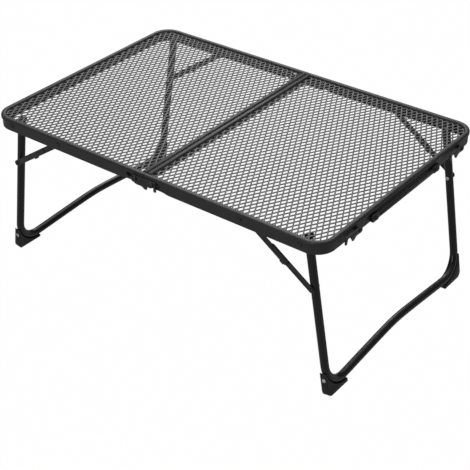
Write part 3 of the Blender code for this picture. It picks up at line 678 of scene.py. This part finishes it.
class CAMPTABLE_OT_finishes(bpy.types.Operator):
    """Makes the finishes: powder coats, moulded plastic and bare metal"""

    bl_idname = "camp_table.finishes"
    bl_label = "Finishes"

    def execute(self, context):
        colours = context.scene.camp_table_colours
        coat = coat_group()
        metal = metal_group()
        # Name: colour, roughness, grain scale, mottle, rub, metallic, bump
        coats = {
            "frame_coat": (colours.frame, 0.44, 1300, 0.14, 0.35, 0.0, 0.22),
            # The mesh's colour holds painted light on top of its coat's own tone.
            "mesh_coat_and_painted_light": (colours.mesh, 0.48, 1500, 0.14, 0.25, 0.0, 0.20),
            "leg_coat": (colours.leg, 0.25, 1300, 0.12, 0.30, 0.0, 0.10),
            "brace_coat": (colours.brace, 0.36, 1300, 0.14, 0.40, 0.0, 0.18),
            "lever_coat": (colours.lever, 0.34, 1200, 0.16, 0.50, 0.0, 0.18),
            "strap_coat": (colours.strap, 0.38, 900, 0.16, 0.25, 0.0, 0.30),
            "shoe_plastic": (colours.shoe, 0.50, 700, 0.18, 0.35, 0.0, 0.40),
            "pin_coat": (colours.pin, 0.34, 1500, 0.20, 0.60, 0.3, 0.18),
        }
        for name, (colour, rough, grain, mottle, rub, metallic, bump) in coats.items():
            finish_from(name, coat, {
                "Colour": (*colour, 1), "Rubbed Colour": lighter(colour, 3.2),
                "Roughness": rough, "Grain Scale": grain, "Mottle": mottle, "Rub": rub,
            }, metallic, bump)
        finish_from("bright_zinc", metal, {
            "Colour": (*colours.zinc, 1), "Tarnish Colour": lighter(colours.zinc, 0.45),
            "Roughness": 0.24,
        }, 0.9, 0.12)
        return {"FINISHED"}


# Pieces

class CAMPTABLE_OT_frames(bpy.types.Operator):
    """Bends the two frames: a rounded rim with a wall and a flange under it"""

    bl_idname = "camp_table.frames"
    bl_label = "Frames"

    def execute(self, context):
        bead = context.scene.camp_table_sizes.bead
        section = [(0, 0, bead), (RIM_W, 0, bead), (RIM_W, -RIM_H, 0.001),
                   (WALL_INNER, -RIM_H, 0.0004), (WALL_INNER, -FLANGE_TOP, 0.0006),
                   (FLANGE_REACH, -FLANGE_TOP, 0.0003), (FLANGE_REACH, -WALL_H, 0.0004),
                   (WALL_BACK, -WALL_H, WALL_EDGE_R), (WALL_BACK, -RIM_H, 0.0003),
                   (0, -RIM_H, 0.0009)]
        piece = sketch("frame_right", section, 4)
        settle(piece, frame(Vector((GAP, -DEPTH / 2, HEIGHT)), Y_AXIS, Z_AXIS))
        open_whole(piece)
        reach = LENGTH / 2 - CORNER_R
        width = DEPTH / 2 - CORNER_R
        turn = {"steps": 14, "angle": -math.pi / 2, "axis": (0, 0, 1)}
        extrude(reach - GAP, 0, 0)
        bpy.ops.mesh.spin(center=(reach, -width, HEIGHT), **turn)
        extrude(0, 2 * width, 0)
        bpy.ops.mesh.spin(center=(reach, width, HEIGHT), **turn)
        extrude(GAP - reach, 0, 0)
        close_piece(piece, 40)
        for _, end in ENDS:
            cut_opening(piece, end)
        shade(piece, 40)
        left = copied(piece, "frame_left", FLIP)
        dress(piece, "frame_coat", "right_half", "frame_black", "rail_right")
        dress(left, "frame_coat", "left_half", "frame_black", "rail_left")
        return {"FINISHED"}


def cut_opening(piece, end):
    """Cuts a window and a slanting lower edge at the fold joint of one long side."""
    past = 0.001
    under = -WALL_H - 0.0015
    window = [(-past, LIP_TOP, 0), (WINDOW_X - 0.004, LIP_TOP, 0.002),
              (WINDOW_X, LIP_TOP + 0.003, 0.002), (WINDOW_X, WINDOW_TOP, 0.003),
              (-past, WINDOW_TOP, 0)]
    edge = [(-past, under, 0), (SLANT_X, under, 0), (WINDOW_X + 0.002, -0.0176, 0.003),
            (-past, LIP_BOTTOM, 0)]
    place = frame(Vector((0, end * (WALL_OUT_Y - CUTTER_INSET), HEIGHT)), X_AXIS, Z_AXIS)
    for corners in (window, edge):
        cutter = stamped("opening", corners, CUTTER_T, SHARP, place, 6)
        apply_modifier(piece, "BOOLEAN", object=cutter, operation="DIFFERENCE",
                       solver="EXACT")
        bpy.data.objects.remove(cutter, do_unlink=True)


class CAMPTABLE_OT_bars(bpy.types.Operator):
    """Makes the two bars that meet in the middle of the top"""

    bl_idname = "camp_table.bars"
    bl_label = "Middle bars"

    def execute(self, context):
        bead = context.scene.camp_table_sizes.bead
        section = [(GAP, 0, bead), (BAR_W, 0, bead), (BAR_W, -RIM_H, 0.001),
                   (BAR_PLATE, -RIM_H, 0.0004), (BAR_PLATE, -BAR_H, 0.0006),
                   (GAP, -BAR_H, 0.0006)]
        length = DEPTH - 2 * BAR_END
        place = frame(Vector((0, 0, HEIGHT)), X_AXIS, Z_AXIS)
        piece = stamped("bar_right_fine", section, length, BAR_EDGE, place, 4)
        left = copied(piece, "bar_left_fine", FLIP)
        dress(piece, "frame_coat", "right_half", "frame_black", "bar_right")
        dress(left, "frame_coat", "left_half", "frame_black", "bar_left")
        return {"FINISHED"}


class CAMPTABLE_OT_mesh_top(bpy.types.Operator):
    """Slits and stretches the diamond mesh of the top"""

    bl_idname = "camp_table.mesh_top"
    bl_label = "Mesh top"

    def execute(self, context):
        sizes = context.scene.camp_table_sizes
        low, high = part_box("mesh_right")
        across = high.y - low.y
        run = high.x - low.x
        columns = math.ceil(run / sizes.pitch_x) + 2
        rows = math.ceil(across / sizes.pitch_y) + 2
        deselect()
        bpy.ops.mesh.primitive_circle_add(vertices=4, radius=1, fill_type="NGON")
        piece = bpy.context.object
        piece.name = "mesh_right_fine"
        open_whole(piece)
        bpy.ops.transform.resize(value=(sizes.pitch_x / 2, sizes.pitch_y / 2, 1))
        bpy.ops.mesh.duplicate_move(TRANSFORM_OT_translate={
            "value": (sizes.pitch_x / 2, sizes.pitch_y / 2, 0)})
        bpy.ops.object.mode_set(mode="OBJECT")
        for count, step in ((columns, (sizes.pitch_x, 0, 0)), (rows, (0, sizes.pitch_y, 0))):
            apply_modifier(piece, "ARRAY", count=count, use_relative_offset=False,
                           use_constant_offset=True, constant_offset_displace=step,
                           use_merge_vertices=True, merge_threshold=LOOSE_WELD)
        middle = Vector(((low.x + high.x) / 2, 0, high.z - sizes.ridge))
        start = Vector((-columns * sizes.pitch_x / 2, -rows * sizes.pitch_y / 2, 0))
        settle(piece, Matrix.Translation(middle + start))
        open_whole(piece)
        bpy.ops.mesh.remove_doubles(threshold=LOOSE_WELD)
        pick(piece, "VERT", lambda vert: True)
        bpy.ops.transform.translate(value=(0, 0, sizes.ridge))
        bpy.ops.mesh.select_mode(type="FACE")
        bpy.ops.mesh.select_all(action="SELECT")
        bpy.ops.mesh.inset(thickness=sizes.strand / 2, depth=-sizes.ridge,
                           use_individual=True, use_even_offset=True)
        bpy.ops.mesh.delete(type="FACE")
        for point, outward in panel_sides(low, high):
            bpy.ops.mesh.select_all(action="SELECT")
            bpy.ops.mesh.bisect(plane_co=point, plane_no=outward, clear_outer=True)
        bpy.ops.mesh.select_all(action="SELECT")
        bpy.ops.mesh.remove_doubles(threshold=CUT_WELD)
        bpy.ops.object.mode_set(mode="OBJECT")
        thickness = high.z - low.z - sizes.ridge
        apply_modifier(piece, "SOLIDIFY", thickness=thickness, offset=-1,
                       use_even_offset=False)
        shade(piece, 50)
        left = copied(piece, "mesh_left_fine", FLIP)
        dress(piece, "mesh_coat_and_painted_light", "right_half", "mesh_black", "mesh_right")
        dress(left, "mesh_coat_and_painted_light", "left_half", "mesh_black", "mesh_left")
        return {"FINISHED"}


def panel_sides(low, high):
    """Planes round the panel, with some across each of its outer corners."""
    planes = [(low, -X_AXIS), (low, -Y_AXIS), (high, X_AXIS), (high, Y_AXIS)]
    radius = PANEL_CORNER_R
    for _, end in ENDS:
        centre = Vector((high.x - radius, end * (high.y - radius), high.z))
        for i in range(1, PANEL_CORNER_CUTS + 1):
            angle = end * math.pi / 2 * i / (PANEL_CORNER_CUTS + 1)
            outward = Vector((math.cos(angle), math.sin(angle), 0))
            planes.append((centre + outward * radius, outward))
    return planes


class CAMPTABLE_OT_legs(bpy.types.Operator):
    """Bends the two leg frames from one length of tube each"""

    bl_idname = "camp_table.legs"
    bl_label = "Leg tubes"

    def execute(self, context):
        sides = context.scene.camp_table_sizes.tube_sides
        bar = (LEG_Z - BAR_Z) / math.cos(LEG_SPLAY)
        bend_y = LEG_Y - LEG_BEND_R
        bend_s = bar - LEG_BEND_R
        deselect()
        bpy.ops.mesh.primitive_circle_add(vertices=sides, radius=TUBE_R, fill_type="NGON",
                                          location=(LEG_Y, -LEG_TOP, 0),
                                          rotation=(math.pi / 2, 0, 0))
        piece = bpy.context.object
        piece.name = "leg_tube_right"
        settle(piece, piece.matrix_world.copy())
        open_whole(piece)
        extrude(0, bend_s + LEG_TOP, 0)
        turn = {"steps": 16, "angle": -math.pi / 2, "axis": (0, 0, 1)}
        bpy.ops.mesh.spin(center=(bend_y, bend_s, 0), **turn)
        steps = 24
        lifts = []
        for i in range(steps + 1):
            share = abs(1 - 2 * i / steps)
            rise = BAR_RISE * (1 - math.hypot(share, BAR_KINK)) / (1 - BAR_KINK)
            lifts.append(max(0, rise) / math.cos(LEG_SPLAY))
        for before, after in zip(lifts, lifts[1:]):
            extrude(-2 * bend_y / steps, before - after, 0)
        bpy.ops.mesh.spin(center=(-bend_y, bend_s, 0), **turn)
        extrude(0, -bend_s - LEG_TOP, 0)
        pick(piece, "EDGE", lambda edge: all(abs(v.co.y + LEG_TOP) < WELD
                                             for v in edge.verts))
        bpy.ops.mesh.bevel(affect="EDGES", offset=LEG_TOP_R, segments=5)
        close_piece(piece, 50)
        down = Vector((math.sin(LEG_SPLAY), 0, -math.cos(LEG_SPLAY)))
        settle(piece, frame(Vector((LEG_X, 0, LEG_Z)), Y_AXIS, down))
        left = copied(piece, "leg_tube_left", FLIP)
        dress(piece, "leg_coat", "leg_frame_right", "leg_black", "leg_right")
        dress(left, "leg_coat", "leg_frame_left", "leg_black", "leg_left")
        return {"FINISHED"}


class CAMPTABLE_OT_shoes(bpy.types.Operator):
    """Moulds the four shoes, with the bright rivet that holds each"""

    bl_idname = "camp_table.shoes"
    bl_label = "Shoes"

    def execute(self, context):
        for side_name, side in SIDES:
            for end_name, end in ENDS:
                node = f"foot_{side_name}_{end_name}"
                shoe = refined(node, f"shoe_{side_name}_{end_name}", SHOE_EDGE)
                dress(shoe, "shoe_plastic", f"leg_frame_{side_name}", "foot_black", node)
                x = side * (LEG_X + (LEG_Z - SHOE_RIVET_Z) * math.tan(LEG_SPLAY))
                point = Vector((x, end * (TUBE_OUT - SUNK), SHOE_RIVET_Z))
                rivet = turned(f"shoe_rivet_{side_name}_{end_name}",
                               dome(COLLAR_R, 0, SHOE_RIVET_T), along(point, end * Y_AXIS))
                extra(rivet, "bright_zinc", f"leg_frame_{side_name}")
        return {"FINISHED"}


class CAMPTABLE_OT_braces(bpy.types.Operator):
    """Stamps the braces' links and the brackets and links of the fold"""

    bl_idname = "camp_table.braces"
    bl_label = "Braces and brackets"

    def execute(self, context):
        edge = context.scene.camp_table_sizes.edge
        for side_name, _ in SIDES:
            for end_name, _ in ENDS:
                label = f"{side_name}_{end_name}"
                for kind, body in (("brace_upper", f"brace_top_{side_name}"),
                                   ("brace_lower", f"brace_low_{side_name}")):
                    node = f"{kind}_{label}"
                    link = refined(node, f"{kind}_link_{label}", edge)
                    dress(link, "brace_coat", body, "brace_black", node)
                node = f"bracket_{label}"
                bracket = refined(node, f"joint_bracket_{label}", edge)
                dress(bracket, "frame_coat", f"{side_name}_half", "frame_black", node)
        for end_name, _ in ENDS:
            node = f"fold_link_{end_name}"
            link = refined(node, f"joint_link_{end_name}", edge)
            dress(link, "brace_coat", "fold_link", "brace_black", node)
        return {"FINISHED"}


def fine_pin(node, body, slot, direction, stations):
    """Turns a pin on the axis of the CAD node that it stands for."""
    low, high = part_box(node)
    middle = (low + high) / 2
    point = middle - direction * middle.dot(direction)
    piece = turned(f"{node}_fine", stations, along(point, direction))
    dress(piece, "pin_coat", body, slot, node)


def leg_pin():
    """Stations of a leg's pivot: a collar inside the tube, one outside and a head."""
    inner = TUBE_IN - GAP
    back = inner - COLLAR_T
    return headed([(HEAD_R, back), (LEG_COLLAR_R, back + 3 * STEP),
                   (LEG_COLLAR_R, inner), (LEG_PIN_R, inner + STEP)]
                  + collar(LEG_PIN_R, LEG_COLLAR_R, TUBE_OUT + GAP, WALL_IN_Y - GAP),
                  LEG_COLLAR_R, WALL_OUT_Y + GAP, HEAD_T)


def frame_pin():
    """Stations of the pin between an upper brace and the frame."""
    return headed([(PIN_R, UPPER_IN)]
                  + collar(PIN_R, COLLAR_R, UPPER_OUT + GAP, WALL_IN_Y - GAP),
                  HEAD_R, WALL_OUT_Y + GAP, HEAD_T)


def knee_pin():
    """Stations of the pin between the two links of a brace."""
    inner = LOWER_IN - GAP
    back = inner - LOW_HEAD_T
    return headed([(SMALL_HEAD_R - 3 * STEP, back), (SMALL_HEAD_R, back + 2 * STEP),
                   (SMALL_HEAD_R, inner - STEP), (PIN_R, inner)],
                  SMALL_HEAD_R, UPPER_OUT + GAP, LOW_HEAD_T)


def low_pin():
    """Stations of the pin between a lower brace and the leg tube."""
    return headed([(SMALL_HEAD_R, TUBE_OUT + GAP), (SMALL_HEAD_R, LOWER_IN - GAP),
                   (PIN_R, LOWER_IN - GAP + STEP)],
                  SMALL_HEAD_R, LOWER_OUT + GAP, LOW_HEAD_T)


class CAMPTABLE_OT_rivets(bpy.types.Operator):
    """Turns the rivets of the legs and the braces"""

    bl_idname = "camp_table.rivets"
    bl_label = "Rivets"

    def execute(self, context):
        leg, top, knee, low = leg_pin(), frame_pin(), knee_pin(), low_pin()
        tail = [(radius, TUBE_IN + past) for radius, past in BRACE_TAIL]
        for side_name, side in SIDES:
            half = f"{side_name}_half"
            for end_name, end in ENDS:
                label = f"{side_name}_{end_name}"
                point = Vector((side * BRACE_PIN_X, 0, BRACE_PIN_Z))
                ring = turned(f"brace_tail_{label}", tail, along(point, end * Y_AXIS))
                extra(ring, "bright_zinc", f"leg_frame_{side_name}")
                for node, body, stations in (
                        (f"leg_rivet_{label}", half, leg),
                        (f"brace_rivet_top_{label}", half, top),
                        (f"brace_rivet_knee_{label}", f"brace_top_{side_name}", knee),
                        (f"brace_rivet_leg_{label}", f"brace_low_{side_name}", low)):
                    fine_pin(node, body, "rivet_black", end * Y_AXIS, stations)
        return {"FINISHED"}


def hook_outline(reach, bottom, blade, run, lobe, prong):
    """A stamped hook's corners (u, v, radius) from its pivot to its prong."""
    near, far = reach - NOTCH_R, reach + NOTCH_R
    throat = far + HOOK_THROAT
    tip = throat + HOOK_PRONG_W
    crisp, inside, soft = 0.0009, 0.0026, 0.003
    return [(-HOOK_TOP, -HOOK_TOP, soft), (HOOK_NECK, -bottom, soft),
            (blade, -bottom, soft), (blade + run, -lobe, crisp),
            (near - HOOK_FLARE, -lobe, crisp), (near, -HOOK_MOUTH, 0),
            (near, NOTCH_R, NOTCH_R - STEP), (far - 4 * STEP, NOTCH_R, inside),
            (throat, -HOOK_THROAT_DEPTH, inside), (throat, -prong, crisp),
            (tip, -prong, crisp), (tip, HOOK_TOP, 0.0035), (-HOOK_TOP, HOOK_TOP, 0.0045)]


class CAMPTABLE_OT_hooks(bpy.types.Operator):
    """Stamps the lock levers and the transport hooks, with pins and studs"""

    bl_idname = "camp_table.hooks"
    bl_label = "Hooks and studs"

    def execute(self, context):
        edge = context.scene.camp_table_sizes.edge
        lever_corners = hook_outline(**LOCK_SHAPE)
        hook_corners = hook_outline(**HOOK_SHAPE)
        wall = WALL_IN_Y + STEP
        near = LOCK_IN + HOOK_T + GAP
        pivot = headed(BRACKET_TAIL + collar(HUB_R, COLLAR_R, wall, LOCK_IN - GAP),
                       BIG_HEAD_R, near, BIG_HEAD_T)
        stud = headed(BRACKET_TAIL + [(HUB_R, wall), (STUD_R, wall + STEP)],
                      BIG_HEAD_R, near, BIG_HEAD_T)
        for end_name, end in ENDS:
            outward = end * Y_AXIS
            plane = end * (LOCK_IN + HOOK_T / 2)
            place = frame(Vector((-LOCK_X, plane, LOCK_Z)), X_AXIS, Z_AXIS)
            lever = stamped(f"lock_plate_{end_name}", lever_corners, HOOK_T, edge, place)
            dress(lever, "lever_coat", f"lock_{end_name}", "lock_steel",
                  f"lock_lever_{end_name}")
            fine_pin(f"lock_pivot_{end_name}", "left_half", "rivet_zinc", outward, pivot)
            fine_pin(f"lock_stud_{end_name}", "right_half", "rivet_zinc", outward, stud)
        wall = WALL_OUT_X + 4 * STEP
        near = HOOK_IN + HOOK_T
        root = WALL_TAIL + [(PIN_R, wall - 2 * STEP)]
        pivot = headed(root + [(HOOK_COLLAR_R, wall), (HOOK_COLLAR_R, HOOK_IN - GAP),
                               (HUB_R, HOOK_IN - GAP + STEP)], HEAD_R, near + GAP, HEAD_T)
        stud = headed(root + [(STUD_R, wall)], BIG_HEAD_R, near + 5 * STEP, BIG_HEAD_T)
        for end_name, _ in ENDS:
            pivot_point = Vector((HOOK_IN + HOOK_T / 2, HOOK_Y[end_name], HOOK_Z))
            plate = stamped(f"hook_plate_{end_name}", hook_corners, HOOK_T, edge,
                            frame(pivot_point, -Y_AXIS, Z_AXIS))
            dress(plate, "lever_coat", f"hook_body_{end_name}", "lock_steel",
                  f"hook_{end_name}")
            fine_pin(f"hook_rivet_{end_name}", "right_half", "rivet_zinc", X_AXIS, pivot)
            fine_pin(f"hook_stud_{end_name}", "left_half", "rivet_zinc", -X_AXIS, stud)
        return {"FINISHED"}


class CAMPTABLE_OT_handle(bpy.types.Operator):
    """Rivets the flat strap handle to the right end in its two caps"""

    bl_idname = "camp_table.handle"
    bl_label = "Handle"

    def execute(self, context):
        face, half = STRAP_T / 2, STRAP_H / 2
        sunk = face - GROOVE_DEPTH
        groove = [(u, v, GROOVE_R) for u, v in zip((face, sunk, sunk, face), GROOVE)]
        section = [(-face, -half, STRAP_R), (face, -half, STRAP_R), *groove,
                   (face, half, STRAP_R), (-face, half, STRAP_R)]
        inner = WALL_OUT_X + GAP
        near = inner + CAP_T + GAP
        length = HANDLE_L - 2 * (CAP_L - HANDLE_SEAT)
        place = frame(Vector((inner + CAP_T - STRAP_DEPTH, 0, HANDLE_Z)), X_AXIS, Z_AXIS)
        strap = stamped("handle_strap", section, length, SHARP, place, 3)
        dress(strap, "strap_coat", "right_half", "handle_grey", "handle")
        pin = headed(WALL_TAIL, HANDLE_HEAD_R, near, BIG_HEAD_T)
        side, top = CAP_L / 2, CAP_H / 2
        outline = [(-side, -top, CAP_R), (side, -top, CAP_R), (side, top, CAP_R),
                   (-side, top, CAP_R)]
        for end_name, end in ENDS:
            middle = Vector((inner + CAP_T / 2, end * (HANDLE_L - CAP_L) / 2, HANDLE_Z))
            cap = stamped(f"handle_cap_{end_name}", outline, CAP_T, CAP_EDGE,
                          frame(middle, Y_AXIS, Z_AXIS))
            extra(cap, "strap_coat", "right_half")
            fine_pin(f"handle_rivet_{end_name}", "right_half", "rivet_zinc", X_AXIS, pin)
        return {"FINISHED"}


# Studio

class CAMPTABLE_OT_stage(bpy.types.Operator):
    """Sets up the floor, the lights, the white background and the camera"""

    bl_idname = "camp_table.stage"
    bl_label = "Studio"

    def execute(self, context):
        studio = context.scene.camp_table_studio
        deselect()
        bpy.ops.mesh.primitive_plane_add(size=12, location=(0, 0, 0))
        floor = bpy.context.object
        floor.name = "studio_floor"
        floor.data.materials.append(floor_material())
        white_world(studio.sky)
        add_lamp("overhead", (-0.3, 0.4, 2.4), (0, 0, 0.2), 2.4, studio.key)
        add_lamp("from_right", (2.4, 0.2, 1.9), (0.1, 0, 0.15), 1.6, studio.side)
        add_lamp("from_front", (0.4, -2.6, 0.9), (0, 0, 0.15), 1.5, studio.front)
        add_lamp("from_behind", (-1.7, 2.2, 2.1), (0, 0, 0.2), 1.6, studio.back)
        add_camera(studio)
        context.scene.view_settings.view_transform = "Standard"
        return {"FINISHED"}


def floor_material():
    """A pale floor that stays white to the eye and keeps a soft shadow."""
    material = bpy.data.materials.new("pale_floor")
    material.use_nodes = True
    tree = material.node_tree
    shader = tree.nodes["Principled BSDF"]
    shader.inputs["Roughness"].default_value = 0.9
    shader.inputs["Specular IOR Level"].default_value = 0.1
    place = tree.nodes.new("ShaderNodeTexCoord").outputs["Object"]
    cloud = noise(tree, place, scale=0.8, detail=2)
    tone = mix_colours(tree, cloud, (0.10, 0.10, 0.10, 1), (0.12, 0.12, 0.12, 1))
    tree.links.new(tone, shader.inputs["Base Color"])
    glow = tree.nodes.new("ShaderNodeEmission")
    glow.inputs["Strength"].default_value = 1
    path = tree.nodes.new("ShaderNodeLightPath").outputs
    mirrored = reckon(tree, "MULTIPLY", path["Is Glossy Ray"], FLOOR_MIRRORED)
    share = reckon(tree, "MULTIPLY_ADD", path["Is Camera Ray"], FLOOR_SEEN, mirrored)
    mix_shaders(tree, share, shader, glow, "Material Output")
    return material


def white_world(strength):
    """White to the eye. Its light comes from above and fades to the ground."""
    world = bpy.data.worlds.new("studio")
    bpy.context.scene.world = world
    world.use_nodes = True
    tree = world.node_tree
    soft = tree.nodes["Background"]
    soft.inputs["Strength"].default_value = strength
    place = tree.nodes.new("ShaderNodeTexCoord")
    split = tree.nodes.new("ShaderNodeSeparateXYZ")
    tree.links.new(place.outputs["Generated"], split.inputs[0])
    fade = stretch(tree, split.outputs["Z"], -0.1, 0.9)
    fade.node.interpolation_type = "SMOOTHSTEP"
    tree.links.new(fade, soft.inputs["Color"])
    white = tree.nodes.new("ShaderNodeBackground")
    white.inputs["Color"].default_value = (1, 1, 1, 1)
    white.inputs["Strength"].default_value = 1
    path = tree.nodes.new("ShaderNodeLightPath")
    mix_shaders(tree, path.outputs["Is Camera Ray"], soft, white, "World Output")


def add_lamp(name, place, target, size, power):
    """A square lamp that shines at a target."""
    deselect()
    bpy.ops.object.light_add(type="AREA", location=place)
    lamp = bpy.context.object
    lamp.name = name
    lamp.data.shape = "SQUARE"
    lamp.data.size = size
    lamp.data.energy = power
    aim = Vector(target) - Vector(place)
    lamp.rotation_euler = aim.to_track_quat("-Z", "Y").to_euler()


def add_camera(studio):
    """The camera, turned about the table, raised and rolled as the studio says."""
    azimuth, elevation, roll = studio.azimuth, studio.elevation, studio.roll
    back = Vector((math.sin(azimuth) * math.cos(elevation),
                   -math.cos(azimuth) * math.cos(elevation), math.sin(elevation)))
    right = (-back).cross(Z_AXIS).normalized()
    up = right.cross(-back)
    across = right * math.cos(roll) + up * math.sin(roll)
    upward = up * math.cos(roll) - right * math.sin(roll)
    deselect()
    bpy.ops.object.camera_add(location=Vector(studio.target) + back * studio.distance)
    camera = bpy.context.object
    camera.name = "studio_camera"
    camera.data.sensor_width = 36
    camera.data.lens = studio.lens
    turn = Matrix((across, upward, back)).transposed()
    camera.rotation_euler = turn.to_euler()
    bpy.context.scene.camera = camera


class CAMPTABLE_PT_panel(bpy.types.Panel):
    """Lists the steps that dress the table"""

    bl_idname = "CAMPTABLE_PT_panel"
    bl_label = "Camp table"
    bl_space_type = "VIEW_3D"
    bl_region_type = "UI"
    bl_category = "Camp table"

    def draw(self, context):
        layout = self.layout
        for step in STEPS:
            layout.operator(step.bl_idname)
        scene = context.scene
        for group in (scene.camp_table_sizes, scene.camp_table_colours,
                      scene.camp_table_studio):
            box = layout.box()
            for name in group.__annotations__:
                box.prop(group, name)


STEPS = (
    CAMPTABLE_OT_finishes,
    CAMPTABLE_OT_stage,
    CAMPTABLE_OT_frames,
    CAMPTABLE_OT_bars,
    CAMPTABLE_OT_mesh_top,
    CAMPTABLE_OT_legs,
    CAMPTABLE_OT_shoes,
    CAMPTABLE_OT_braces,
    CAMPTABLE_OT_rivets,
    CAMPTABLE_OT_hooks,
    CAMPTABLE_OT_handle,
)
CLASSES = (CampTableSizes, CampTableColours, CampTableStudio) + STEPS + (CAMPTABLE_PT_panel,)


def register():
    for cls in CLASSES:
        bpy.utils.register_class(cls)
    scene = bpy.types.Scene
    scene.camp_table_sizes = PointerProperty(type=CampTableSizes)
    scene.camp_table_colours = PointerProperty(type=CampTableColours)
    scene.camp_table_studio = PointerProperty(type=CampTableStudio)


def unregister():
    scene = bpy.types.Scene
    del scene.camp_table_studio
    del scene.camp_table_colours
    del scene.camp_table_sizes
    for cls in reversed(CLASSES):
        bpy.utils.unregister_class(cls)


def main():
    register()
    bpy.ops.camp_table.finishes()
    bpy.ops.camp_table.stage()
    bpy.ops.camp_table.frames()
    bpy.ops.camp_table.bars()
    bpy.ops.camp_table.mesh_top()
    bpy.ops.camp_table.legs()
    bpy.ops.camp_table.shoes()
    bpy.ops.camp_table.braces()
    bpy.ops.camp_table.rivets()
    bpy.ops.camp_table.hooks()
    bpy.ops.camp_table.handle()
    deselect()


if __name__ == "__main__":
    main()
